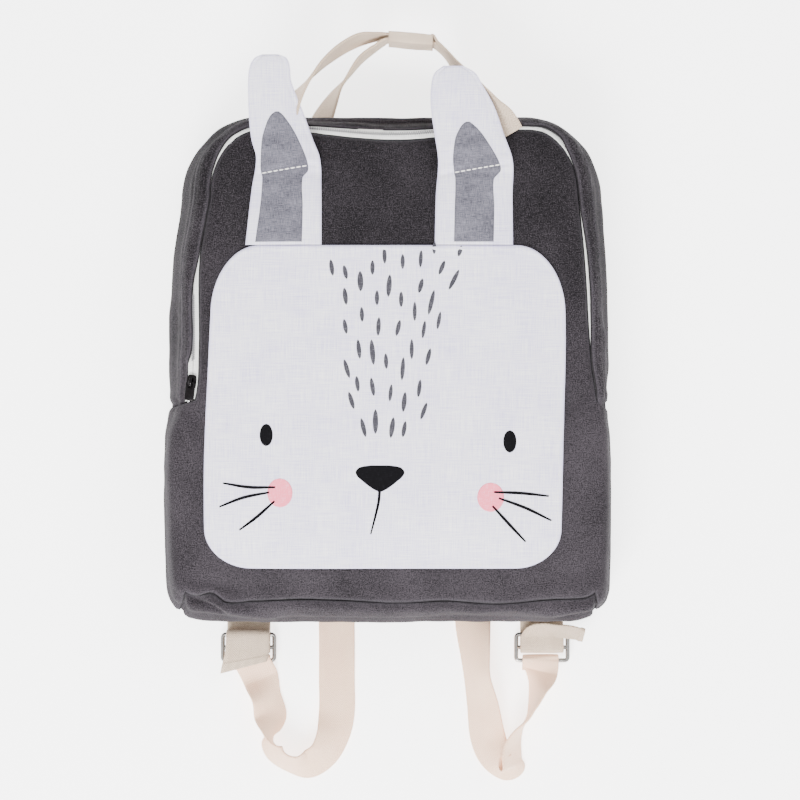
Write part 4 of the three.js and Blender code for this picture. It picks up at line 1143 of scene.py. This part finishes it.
def oval(x, y, half_wide, half_tall, lean=0.0, power=0.5):
    """A mark with rounded ends, standing on its long way and leaning left by degrees."""
    angle = math.radians(lean)
    dx, dy = -math.sin(angle) * half_tall, math.cos(angle) * half_tall
    widths = lambda t: half_wide * np.maximum(4 * t * (1 - t), 2e-3) ** power
    return [(x - dx, y - dy), (x, y), (x + dx, y + dy)], widths


# The marks on the forehead, charted: x, y, lean to the left in degrees, length, width
FLECKS = [
    (-37, 95, 8, 11, 3.0), (-28, 92, 12, 9.5, 3.0), (-18, 86, 2, 13.5, 3.9), (-10, 95, 0, 9.8, 2.9),
    (-2, 103, 2, 11, 2.8), (1, 83, -4, 15, 3.5), (10, 99, 0, 10, 2.8), (22, 101, -3, 12, 2.6),
    (31, 108, -2, 8, 2.6), (36, 95, -22, 10, 2.9), (48, 106, -16, 7.5, 2.8), (44, 87, -27, 15, 2.9),
    (22, 83, -14, 10, 3.1), (-28, 76, 7, 11.5, 3.2), (-7, 75, 0, 10, 2.9), (9, 74, 0, 10.5, 2.9),
    (29, 72, -13, 17, 3.0), (-17, 64, 3, 10, 2.8), (18, 66, 0, 13, 2.6), (34, 60, -10, 12, 2.5),
    (-28, 56, 10, 10, 2.9), (-6, 56, -3, 12.5, 3.0), (7, 55, -13, 11, 3.0), (24, 54, -8, 12, 2.5),
    (-19, 41, 6, 13, 3.0), (-10, 39, 5, 17, 3.5), (16, 41, 0, 13.5, 2.7), (27, 36, -14, 11.5, 2.9),
    (-1, 33, 3, 10.5, 2.8), (-27, 28, 16, 13, 3.0), (10, 28, -4, 15.5, 2.9), (-20, 18, 7, 10.5, 2.9),
    (-10, 16, 9, 12.5, 3.0), (21, 15, -7, 12, 2.8), (2, 12, -6, 11.5, 2.6), (-24, 7, 17, 12, 3.0),
    (11, 6, -6, 13.5, 3.2), (24, 0, -20, 12, 2.8), (-8, -7, 0, 16.5, 3.6), (-16, -11, 14, 13, 3.0),
    (3, -11, -8, 14, 3.4), (11, -12, -10, 11, 2.9),
]
WHISKERS = [
    [(-74.5, -50.6), (-92, -50.6), (-109.5, -48.0)],
    [(-78.6, -54.0), (-96, -57.6), (-112, -63.8)],
    [(-75.0, -59.8), (-87, -70.5), (-98.6, -79.2)],
    [(70.6, -53.8), (89, -54.6), (107.2, -56.6)],
    [(73.8, -57.8), (92, -64.6), (109, -72.9)],
    [(69.6, -63.0), (81, -75.5), (91.8, -87.0)],
]
CHEEKS = [(-71.4, -54.3, 8.4, 9.6), (68.4, -57.2, 8.9, 9.7)]


EYES = [(-80.5, -15.9), (81.1, -20.2)]
NOSE = [(-5.0, -36.0), (-5.0, -45), (-5.0, -53.6)]
NOSE_WIDTHS = [
    (0, 6.0), (0.05, 12.2), (0.14, 15.0), (0.26, 16.2), (0.42, 15.0), (0.62, 11.0), (0.80, 7.0), (0.92, 3.8),
    (1, 0.6),
]
MOUTH = [(-5.2, -52.0), (-5.9, -60), (-8.4, -71), (-11.2, -81.8)]


def face_print():
    eyes = [stroke(*oval(x, y, 4.4, 7.4), face_surface) for x, y in EYES]
    nose = stroke(NOSE, NOSE_WIDTHS, face_surface, columns=16, steps=30)
    mouth = stroke(MOUTH, lambda t: 0.95 - 0.5 * t**2, face_surface, steps=30)
    thin = lambda t: 0.35 + 0.62 * np.sin(np.pi * np.clip(0.12 + 0.8 * t, 0, 1))
    whiskers = [stroke(line, thin, face_surface, columns=4, steps=36, raised=0.3) for line in WHISKERS]
    marks("print_black", [*eyes, nose, mouth, *whiskers], BLACK_INK)
    cheeks = [stroke(*oval(x, y, wide, tall), face_surface, columns=12, steps=28) for x, y, wide, tall in CHEEKS]
    marks("print_pink", cheeks, PINK_INK)
    flecks = [
        stroke(*oval(x, y, wide / 2, length / 2, lean, 0.62), face_surface, columns=4, steps=12)
        for x, y, lean, length, wide in FLECKS
    ]
    marks("print_grey", flecks, GREY_INK)


# The ears: edges as shares of EAR_HALF from the ear's middle by share of the length, and the grey patch's
EARS = {
    "left": dict(
        middle=-0.5685 * FACE_HALF,
        rows=[
            (0.00, -1.00, 0.95), (0.30, -0.84, 0.94), (0.46, -0.73, 0.90), (0.56, -0.85, 0.72),
            (0.70, -0.92, 0.48), (0.86, -0.93, 0.18), (0.94, -0.88, 0.14), (0.985, -0.74, 0.04),
            (1.00, -0.56, -0.16),
        ],
        inner=[
            (0.015, -0.745, 0.45), (0.20, -0.62, 0.47), (0.355, -0.57, 0.46), (0.395, -0.61, 0.60),
            (0.46, -0.61, 0.55), (0.5617, -0.57, 0.34), (0.615, -0.50, 0.20), (0.657, -0.42, 0.06),
            (0.685, -0.33, -0.05), (0.700, -0.23, -0.14),
        ],
    ),
    "right": dict(
        middle=0.4755 * FACE_HALF,
        rows=[
            (0.00, -1.00, 1.00), (0.26, -0.97, 0.99), (0.44, -0.91, 1.00), (0.58, -1.00, 0.78),
            (0.73, -1.10, 0.52), (0.84, -1.09, 0.22), (0.905, -1.00, 0.02), (0.94, -0.78, -0.28),
        ],
        inner=[
            (0.015, -0.51, 0.50), (0.20, -0.49, 0.52), (0.345, -0.47, 0.51), (0.395, -0.51, 0.69),
            (0.465, -0.53, 0.575), (0.5617, -0.47, 0.2835), (0.609, -0.37, 0.105), (0.635, -0.28, -0.03),
            (0.646, -0.20, -0.11),
        ],
    ),
}


# Where the sewn line presses an ear in and the cloth swells beside it: height, place over the line, width
SEWN = [(-1.2, 0, 1.0), (0.9, 3.4, 2.4), (-0.5, 10, 3.5)]
# Creases of an ear from its middle and foot: from across, up to across, up, raised by, width
EAR_CREASES = [(-13, 62, 1, 48, -0.9, 1.5), (-5, 88, 5, 70, -0.7, 1.5)]
EAR_SEAM_SINK, EAR_SEAM_AT, EAR_SEAM_WIDTH = 0.7, 3.0, 0.8


def ear_edges(ear, rows, up):
    """An ear's left and right edge at shares up its length."""
    return [ear["middle"] + EAR_HALF * read(rows, up, k) for k in (1, 2)]


def ear_under(x, y):
    """The underside of an ear: on the front panel up to its tack, and free above it."""
    tack = EAR_FOOT + EAR_TACK * EAR_LENGTH
    t = np.maximum(0, (y - tack) / (EAR_LENGTH * (1 - EAR_TACK)))
    flat = front_surface(x, np.minimum(y, tack)) + GAP
    return flat + EAR_RISE * t**1.4 + 1.4 * np.sin(np.pi * np.minimum(1, 3 * t))


def tack_share(ear, x):
    """Where the sewn line crosses the ear, as a share of its length."""
    return EAR_TACK + 0.02 + TACK_SLOPE * (x - ear["middle"]) / EAR_LENGTH


def ear_over(ear, x, y):
    up = (y - EAR_FOOT) / EAR_LENGTH
    left, right = ear_edges(ear, ear["rows"], up)
    u = np.clip((x - left) / (right - left), 0, 1)
    away = np.minimum(x - left, right - x)
    full = np.sin(np.pi * u) ** 0.6
    ends = np.clip((ear["rows"][-1][0] - up) / 0.08, 0, 1) ** 0.5
    above = (up - tack_share(ear, x)) * EAR_LENGTH
    swell = (EAR_THICK - EAR_HEM) * full * ends * (1 - 0.45 * bell(above / 9))
    sewn = sum(height * bell((above - at) / width) for height, at, width in SEWN)
    creases = [
        (ear["middle"] + x0, EAR_FOOT + y0, ear["middle"] + x1, EAR_FOOT + y1, raised, width)
        for x0, y0, x1, y1, raised, width in EAR_CREASES
    ]
    seam = -EAR_SEAM_SINK * bell((away - EAR_SEAM_AT) / EAR_SEAM_WIDTH) * ease(0.3, 0.5, up)
    wave = 0.5 * np.sin(x / 7.5 + y / 11) * np.sin(y / 15 + 1) * ease(1, 8, away)
    top = ear_under(x, y) + EAR_HEM + swell + sewn * ease(0, 4, away)
    return folded(top, x, y, creases) + seam + wave


def ear_grid(ear, rows, columns, steps):
    """Points over an ear or its patch, and each one's distance from the edge."""
    start, end = rows[0][0], rows[-1][0]
    t = np.linspace(0, 1, steps + 1)
    up = start + (end - start) * (t + 0.12 * np.sin(np.pi * t) * t)
    left, right = ear_edges(ear, rows, up)
    u = np.linspace(0, 1, columns + 1)
    u = 0.5 - 0.5 * np.cos(np.pi * u) * (0.55 + 0.45 * np.abs(np.cos(np.pi * u)))
    x = left[:, None] + (right - left)[:, None] * u
    y = np.broadcast_to((EAR_FOOT + up * EAR_LENGTH)[:, None], x.shape)
    away = np.minimum(np.minimum(x - left[:, None], right[:, None] - x), (EAR_FOOT + end * EAR_LENGTH) - y)
    return x.ravel(), y.ravel(), away.ravel()


def ear_flap(side, ear):
    columns, steps = 36, 110
    x, y, away = ear_grid(ear, ear["rows"], columns, steps)
    under = ear_under(x, y)
    over = ear_over(ear, x, y)
    curl = 0.45 * EAR_HEM * bell(away / 0.9)
    high, low = np.column_stack([x, y, over - curl]), np.column_stack([x, y, under + curl])
    quads = grid_quads(columns, steps)
    obj = cloth_sheet(f"ear_{side}", high, quads, low, WHITE, np.column_stack([x, y, away]), "white_cloth")


def ear_inner(side, ear):
    columns, steps = 26, 90
    x, y, away = ear_grid(ear, ear["inner"], columns, steps)
    over = ear_over(ear, x, y)
    away = np.minimum(away, y - (EAR_FOOT + ear["inner"][0][0] * EAR_LENGTH))
    fold = np.abs((y - EAR_FOOT) - EAR_LENGTH * tack_share(ear, x) - 0.8)
    high = np.column_stack([x, y, over + 0.62 - 0.4 * bell(away / 0.7)])
    # The fold above the sewn line counts as an edge, so the grey cloth paints shade along it
    away = np.minimum(away, fold)
    low = np.column_stack([x, y, over + 0.12])
    quads = grid_quads(columns, steps)
    obj = cloth_sheet(f"ear_inner_{side}", high, quads, low, GREY, np.column_stack([x, y, away]), "grey_cloth")
    sheet_area(high, quads)
    # The sewn line that tacks the ear down
    up = EAR_TACK + 0.02
    left, right = ear_edges(ear, ear["inner"], up)
    xs = np.linspace(left + 0.6, right - 0.6, 40)
    ys = EAR_FOOT + EAR_LENGTH * tack_share(ear, xs)
    line = np.column_stack([xs, ys, ear_over(ear, xs, ys) + 0.72])
    stitches(f"ear_stitches_{side}", line, (0, 0, 1), THREAD, 3.0, 0.9, 0.85)


# A quad's corners the other way round, from the same first one
TURNED = [0, 3, 2, 1]
# Webbing: half a section's points as shares of half the width and half the thickness
SECTION = [
    (-1.0, 0.0), (-0.975, 0.7), (-0.93, 1.0), (-0.82, 0.93), (-0.6, 1.0), (-0.3, 1.0), (0.0, 1.0),
    (0.3, 1.0), (0.6, 1.0), (0.82, 0.93), (0.93, 1.0), (0.975, 0.7),
]


def webbing(name, stations, width, thick, steps, finish, slot, seed, cup, slant=0.0, hem=0.0):
    """Webbing through stations of point, side and share of the width, with firm edges and a slight wave.
    slant is how far the cut end leans over the width, and hem the length that is folded back there."""
    points = np.array([s[0] for s in stations], float)
    sides = np.array([s[1] for s in stations], float)
    shares = np.array([[s[2] if len(s) > 2 else 1.0] for s in stations])
    t = np.linspace(0, 1, steps + 1)
    line, side = spline(points, t), spline(sides, t)
    share = np.interp(t * (len(stations) - 1), np.arange(len(stations)), shares[:, 0])
    along = unit(np.gradient(line, axis=0))
    side -= (side * along).sum(1, keepdims=True) * along
    side = unit(side)
    up = np.cross(side, along)
    run = lengths(line)
    floor = (np.abs(side[:, 2]) * width * share + np.abs(up[:, 2]) * thick) / 2
    line[:, 2] = np.maximum(line[:, 2], floor)
    ring = SECTION + [(-w, -h) for w, h in SECTION]
    rows, places = [], []
    wave = rumple(np.column_stack([run, 0 * run, 0 * run]), 16, seed)
    left_over = run[-1] - run
    folded = 1 + (0.85 * ease(hem + 0.3, hem - 0.3, left_over) if hem else 0)
    cut = ease(0.8 * width, 0, left_over) * slant * width / 2
    for w, h in ring:
        bent = cup * (1 - w * w) * np.sign(up[:, 2] + 1e-9) * wave + 0.35 * w * wave
        at = line + side * (w * width * share / 2)[:, None] + along * (w * cut)[:, None]
        at = at + up * (h * thick / 2 * folded + bent * 0.8)[:, None]
        at[:, 2] = np.maximum(at[:, 2], 0.02)
        rows.append(at)
        places.append(np.column_stack([0 * run + w * width / 2, run, 0 * run + (1 - abs(w)) * width / 2]))
    n = len(ring)
    points = np.stack(rows, 1).reshape(-1, 3)
    places = np.stack(places, 1).reshape(-1, 3)
    faces = tube_quads(steps + 1, n)[:, TURNED].tolist()
    half = len(SECTION)
    for base, flip in ((0, False), (steps * n, True)):
        for k in range(half - 1):
            a, b = base + k, base + k + 1
            c, d = base + (half + half - k) % n, base + (half + half - k - 1) % n
            quad = [a, b, d, c] if k else [a, b, d]
            faces.append(quad[::-1] if flip else quad)
        faces.append([base + half - 1, base + half, base + half + 1][:: -1 if flip else 1])
    obj = piece(name, points, faces, finish, places, nodes=[name], slot=slot)
    weld(obj)


def fold_height(thick):
    """From a bar's middle to that of webbing folded round it."""
    return BAR_THICK / 2 + GAP + thick / 2 + 0.1


def fold_round(x, y, thick, sign):
    """Stations of webbing folded round the bar at x, y."""
    reach = 0.8 * BAR_WIDTH + thick / 2
    stations = []
    for degrees in (-90, -45, 0, 45, 90):
        angle = math.radians(degrees)
        at = (x, y + sign * reach * math.cos(angle), BAR_HEIGHT + fold_height(thick) * math.sin(angle))
        stations.append((at, (1, 0, 0)))
    return stations


# Tails of the lower webbing: across, along and over as shares of its width, side, share of the width left
TAILS = {
    "left": [
        (0.00, -0.03, 0.00, (1, 0, 0), 1), (0.00, 0.10, 0.06, (1, 0, 0), 1), (0.00, 0.02, 0.15, (1, 0.02, 0), 1),
        (-0.02, -0.35, 0.13, (1, 0.16, 0), 1), (-0.10, -0.74, 0.09, (1, 0.26, 0.02), 1),
    ],
    "right": [
        (0.00, -0.03, 0.02, (1, 0, -0.02), 1), (0.02, 0.08, 0.14, (0.93, -0.25, -0.28), 0.85),
        (0.12, 0.13, 0.28, (0.62, -0.55, -0.56), 0.62), (0.33, 0.12, 0.37, (0.25, -0.62, -0.74), 0.55),
        (0.64, 0.09, 0.36, (0.10, -0.60, -0.79), 0.55), (0.94, 0.02, 0.31, (0.05, -0.55, -0.83), 0.50),
    ],
}
# How the tails' cut ends lean over their width, and the length of their hems
TAIL_ENDS = {"left": (-0.5, 6.0), "right": (0.1, 3.5)}
# The straps' loops from the adjuster to the bag's edge: middle, and the way from the left edge to the
# right one at the start, whose length is its share of the width where the strap stands on edge
LOOPS = {
    "left": [
        (-88.7, -184.5, 3.5, (0.98, 0.08, -0.16)), (-83.7, -199.0, 3, (0.77, 0.08, -0.63)),
        (-81.5, -209.8, 3, (0.87, 0.11, -0.47)), (-79.9, -222.6, 4, (0.36, -0.06, -0.93)),
        (-80.2, -231.5, 3, (-0.61, -0.03, -0.79)), (-75.9, -239.1, 3, (-0.57, -0.19, -0.80)),
        (-65.0, -244.6, 3, (-0.25, -0.55, -0.80)), (-54.5, -244.2, 2, (0.06, -0.86, -0.50)),
        (-44.6, -237.5, 1, (0.46, -0.72, -0.50)), (-38.2, -225.0, 1, (0.83, -0.38, -0.38)),
        (-35.6, -209.1, 1, (1.00, -0.04, -0.08)), (-35.6, -186.3, 1, (1.00, 0.00, 0.00)),
        (-35.6, -158.6, 1, (1.00, 0.00, 0.00)),
    ],
    "right": [
        (105.4, -182.2, 4, (0.86, 0.00, 0.50)), (103.3, -191.0, 3, (0.47, 0.00, 0.88)),
        (100.1, -202.5, 3, (0.17, 0.00, 0.99)), (97.3, -210.4, 4, (-0.04, 0.00, 1.00)),
        (90.6, -220.4, 5, (-0.29, 0.00, 0.96)), (86.2, -231.9, 7, (-0.51, 0.00, 0.86)),
        (85.6, -240.2, 8, (-0.55, 0.04, 0.83)), (85.7, -246.5, 7, (-0.53, 0.25, 0.81)),
        (79.8, -246.3, 2, (0.06, 0.80, 0.59)), (73.2, -237.6, 1, (0.76, 0.55, 0.33)),
        (69.1, -226.0, 1, (0.93, 0.30, 0.20)), (65.6, -204.2, 1, (0.86, 0.10, 0.50)),
        (61.5, -183.5, 1, (0.70, 0.00, 0.70)), (60.1, -168.0, 1, (0.80, 0.00, 0.58)),
        (58.8, -149.0, 1, (0.95, 0.00, 0.25)),
    ],
}


def lower_webbing(side, strap):
    x, over = strap["tab"], fold_height(TAB_THICK)
    flat = (1, 0, 0)
    stations = [
        ((x, SEAM_BOTTOM + 8, TAB_THICK / 2), flat),
        ((x, SEAM_BOTTOM - 6, TAB_THICK / 2 + 0.3), flat),
        ((x, FIRST_BAR, BAR_HEIGHT - over), flat),
        *fold_round(x, FIRST_BAR - BAR_PITCH, TAB_THICK, -1),
    ]
    for across, along, high, way, share in TAILS[side]:
        at = (x + across * TAB_WIDTH, FIRST_BAR + along * TAB_WIDTH, BAR_HEIGHT + over + high * TAB_WIDTH)
        stations.append((at, way, share))
    slant, hem = TAIL_ENDS[side]
    webbing(
        f"lower_webbing_{side}", stations, TAB_WIDTH, TAB_THICK, 260, TWILL, "twill", 4.0 + len(side),
        0.1, slant, hem,
    )


def shoulder_strap(side, strap):
    across, bar = strap["tab"] + strap["shift"], FIRST_BAR - 2 * BAR_PITCH
    flat, floor = (1, 0, 0), STRAP_THICK / 2
    stations = [((across, bar - 0.28 * STRAP_WIDTH, floor), flat), *fold_round(across, bar, STRAP_THICK, 1)]
    stations += [((x, y, floor + z - 1), way) for x, y, z, way in LOOPS[side]]
    # From the loop on it runs straight under the bag to its top
    start = SEAM_BOTTOM - 10
    for share in (0.03, 0.2, 0.6, 1):
        y = start + (STRAP_TOP - start) * share
        stations.append(((float(strap_x(strap, y)), y, floor), flat))
    webbing(
        f"strap_{side}", stations, STRAP_WIDTH, STRAP_THICK, 520, COTTON, "cotton_webbing", 7.0 + len(side),
        0.5,
    )


def adjuster(side, strap):
    """A ring of round wire with a middle bar."""
    middle = np.array([strap["tab"], FIRST_BAR - BAR_PITCH, BAR_HEIGHT])
    w, l = (ADJUSTER_WIDTH - BAR_WIDTH) / 2, BAR_PITCH
    path = np.array(rounded_outline(-w, -l, w, l, 2.2, 6))
    n = 14
    angle = np.linspace(0, 2 * math.pi, n, endpoint=False)
    ring_way = np.roll(path, -1, 0) - np.roll(path, 1, 0)
    ring_way = unit(ring_way)
    points = []
    for (x, y), (tx, ty) in zip(path, ring_way):
        for a in angle:
            out, high = BAR_WIDTH / 2 * math.cos(a), BAR_THICK / 2 * math.sin(a)
            points.append(middle + [x + ty * out, y - tx * out, high])
    first = len(points)
    faces = (tube_quads(len(path) + 1, n) % first)[:, TURNED].tolist()
    for x in np.linspace(-w, w, 5):
        for a in angle:
            points.append(middle + [x, BAR_WIDTH / 2 * 0.94 * math.cos(a), BAR_THICK / 2 * 0.9 * math.sin(a)])
    faces += tube_quads(5, n, first)[:, TURNED].tolist()
    faces += [list(range(first, first + n)), list(range(first + 4 * n, first + 5 * n))[::-1]]
    name = f"adjuster_{side}"
    weld(piece(name, points, faces, BRIGHT_NICKEL, nodes=[name], slot="bright_metal"))


# Handles: stations up each leg, out as a share of the way from the sleeve's end to the foot, up, high
# and upright
SLEEVE_LEAN = math.radians(-5)
LEGS = {
    "front_left": [
        (1.06, -0.14, 0.00, 0.00), (1.00, 0.00, 0.00, 0.20), (0.88, 0.23, 0.04, 0.48), (0.76, 0.43, 0.12, 0.66),
        (0.63, 0.63, 0.28, 0.76), (0.49, 0.79, 0.50, 0.80), (0.31, 0.93, 0.74, 0.84), (0.16, 0.98, 0.90, 0.94),
    ],
    "front_right": [
        (1.12, -0.15, 0.00, 0.00), (1.00, 0.00, 0.00, 0.12), (0.84, 0.14, 0.03, 0.35), (0.70, 0.30, 0.10, 0.55),
        (0.38, 0.66, 0.45, 0.76), (0.14, 0.90, 0.82, 0.90),
    ],
    "back_left": [
        (1.10, -0.24, 0.00, 0.50), (1.00, 0.00, 0.00, 0.56), (0.82, 0.30, 0.10, 0.66), (0.62, 0.55, 0.30, 0.80),
        (0.37, 0.81, 0.66, 0.92), (0.15, 0.95, 0.90, 1.00),
    ],
    "back_right": [
        (1.08, -0.24, 0.00, 0.40), (1.00, 0.00, 0.00, 0.45), (0.86, 0.25, 0.05, 0.55), (0.66, 0.52, 0.25, 0.80),
        (0.40, 0.78, 0.60, 0.92), (0.16, 0.94, 0.88, 1.00),
    ],
}
HANDLES = {
    "front": dict(feet=(-73, 74), foot=SEAM_HEIGHT + 2.8, foot_up=3.5, layer=0.5),
    "back": dict(feet=(-45, 62), foot=16, foot_up=12, layer=-0.5),
}


def handle(side, feet, foot, foot_up, layer):
    offset = (HANDLE_THICK + 4 * GAP) * layer

    def station(sign, out, up, high, upright):
        turn = upright * math.pi / 2
        end, far = SLEEVE_X + sign * SLEEVE_LENGTH / 2, feet[sign > 0]
        base = PANEL_TOP + foot_up
        top = SLEEVE_Y + offset + sign * math.sin(SLEEVE_LEAN) * SLEEVE_LENGTH / 2
        at = (end + (far - end) * out, base + (top - base) * up, foot + (SLEEVE_HEIGHT - foot) * high)
        bend = math.radians(90 - 75 * up)
        way = (math.cos(turn) * math.sin(bend), -sign * math.cos(turn) * math.cos(bend), math.sin(turn))
        return at, way

    over = []
    for share in (-0.52, 0, 0.52):
        run = share * SLEEVE_LENGTH
        over.append(((SLEEVE_X + run, SLEEVE_Y + offset + run * math.sin(SLEEVE_LEAN), SLEEVE_HEIGHT), (0, 0, 1)))
    left, right = (LEGS[f"{side}_{way}"] for way in ("left", "right"))
    stations = [*(station(-1, *row) for row in left), *over, *(station(1, *row) for row in right[::-1])]
    webbing(
        f"handle_{side}", stations, HANDLE_WIDTH, HANDLE_THICK, 240, TWILL, "twill", 11.0 + layer,
        0.12,
    )


def handle_sleeve():
    """A wrap of the same webbing round both handles, overlapped and sewn at the bottom."""
    tall, deep = HANDLE_WIDTH + 4 * GAP, 2 * HANDLE_THICK + 5.6 * GAP
    inner = np.array(rounded_outline(-tall / 2, -deep / 2, tall / 2, deep / 2, 0.9, 6))
    columns = 30
    n = len(inner)
    middle = np.array([SLEEVE_X, SLEEVE_Y, SLEEVE_HEIGHT])
    high, low, place = [], [], []
    run = lengths(np.vstack([inner, inner[:1]]))
    out = np.roll(inner, -1, 0) - np.roll(inner, 1, 0)
    out = unit(np.column_stack([out[:, 1], -out[:, 0]]))
    for i in range(columns + 1):
        x = (i / columns - 0.5) * SLEEVE_LENGTH
        pinch = 0.35 * math.cos(2 * math.pi * i / columns) * 0.4
        for k, (v, w) in enumerate(inner):
            wavy = 0.18 * noise.noise(Vector((x / 6, v / 6, w / 3 + 4)))
            a = out[k] * (1.0 + wavy - pinch)
            lean = x * math.sin(SLEEVE_LEAN)
            high.append(middle + [x, w + a[1] + lean, -(v + a[0])])
            low.append(middle + [x, w + out[k][1] * 0.05 + lean, -(v + out[k][0] * 0.05)])
            place.append((run[k], x, min(i, columns - i) * SLEEVE_LENGTH / columns))
    high, low = np.array(high), np.array(low)
    obj = cloth_sheet("handle_sleeve", high, tube_quads(columns + 1, n), low, TWILL, np.array(place), "twill")
    weld(obj)
    for row, x in enumerate((-SLEEVE_LENGTH / 2 + 3, SLEEVE_LENGTH / 2 - 3)):
        v = np.linspace(-tall / 2 + 1.5, tall / 2 - 1.5, 20)
        line = middle + np.column_stack([0 * v + x, 0 * v + deep / 2 + 1.1 + x * math.sin(SLEEVE_LEAN), v])
        stitches(f"sleeve_stitches_{row + 1}", line, (0, 1, 0), THREAD, 2.2, 1.0, 0.45)


# Camera: straight above, so that the picture has the photograph's frame
CAMERA_X, CAMERA_Y, CAMERA_Z = 8.25, 7.3, 1600
FRAME_WIDE, FRAME_Z = 528, 80
SENSOR_WIDTH = 36
camera_data = bpy.data.cameras.new("camera")
camera_data.sensor_width = SENSOR_WIDTH
camera_data.lens = SENSOR_WIDTH * (CAMERA_Z - FRAME_Z) / FRAME_WIDE
camera = bpy.data.objects.new("camera", camera_data)
camera.location = (np.array([CAMERA_X, CAMERA_Y, CAMERA_Z]) + SHIFT) * MM
bpy.context.scene.collection.objects.link(camera)
bpy.context.scene.camera = camera


# The studio: metres and shader strengths. Lights are name, place, size and power.
FLOOR_REACH, FLOOR_DROP, FLOOR_GLOW, WORLD_STRENGTH = 4.0, 0.0005, 2.6, 1.75
LIGHTS = [("key", (-0.5, -1.6, 1.6), 1.1, 125), ("fill", (1.3, 0.9, 1.4), 0.9, 22)]


def floor_and_light():
    mesh = bpy.data.meshes.new("floor")
    corners = [(x * FLOOR_REACH, y * FLOOR_REACH, 0) for x, y in ((-1, -1), (1, -1), (1, 1), (-1, 1))]
    mesh.from_pydata(corners, [], [(0, 1, 2, 3)])
    paper = Finish("floor_paper", roughness=0.9, specular=0.1)
    paper.shader.inputs["Base Color"].default_value = (0.95, 0.95, 0.95, 1)
    paper.shader.inputs["Emission Color"].default_value = (1, 1, 1, 1)
    paper.shader.inputs["Emission Strength"].default_value = FLOOR_GLOW
    mesh.materials.append(paper.material)
    ground = bpy.data.objects.new("floor", mesh)
    ground.location.z = -FLOOR_DROP
    bpy.context.scene.collection.objects.link(ground)
    world = bpy.data.worlds.new("studio")
    bpy.context.scene.world = world
    world.use_nodes = True
    sky = world.node_tree.nodes["Background"].inputs
    sky["Color"].default_value = (1, 1, 1, 1)
    sky["Strength"].default_value = WORLD_STRENGTH
    for name, place, size, power in LIGHTS:
        data = bpy.data.lights.new(name, "AREA")
        data.size, data.energy = size, power
        lamp = bpy.data.objects.new(name, data)
        lamp.location = place
        lamp.rotation_mode = "QUATERNION"
        lamp.rotation_quaternion = (-Vector(place)).to_track_quat("-Z", "Y")
        bpy.context.scene.collection.objects.link(lamp)


front_panel()
wall_panel("bottom_panel", 0, COLUMNS)
wall_panel("zip_band", RIGHT_NOTCH, LEFT_NOTCH, over_zip=True)
back_panel()
zip_tape("zip_tape_front", GAP, TAPE_MIDDLE - GAP / 2)
zip_tape("zip_tape_back", TAPE_MIDDLE + GAP / 2, GAP + ZIP_WIDTH)
zip_teeth()
zip_slider()
zip_pull()
face_panel()
face_stitches()
face_print()
for side, ear in EARS.items():
    ear_flap(side, ear)
    ear_inner(side, ear)
for side, strap in STRAPS.items():
    adjuster(side, strap)
    lower_webbing(side, strap)
    shoulder_strap(side, strap)
for side, shape in HANDLES.items():
    handle(side, **shape)
handle_sleeve()
floor_and_light()
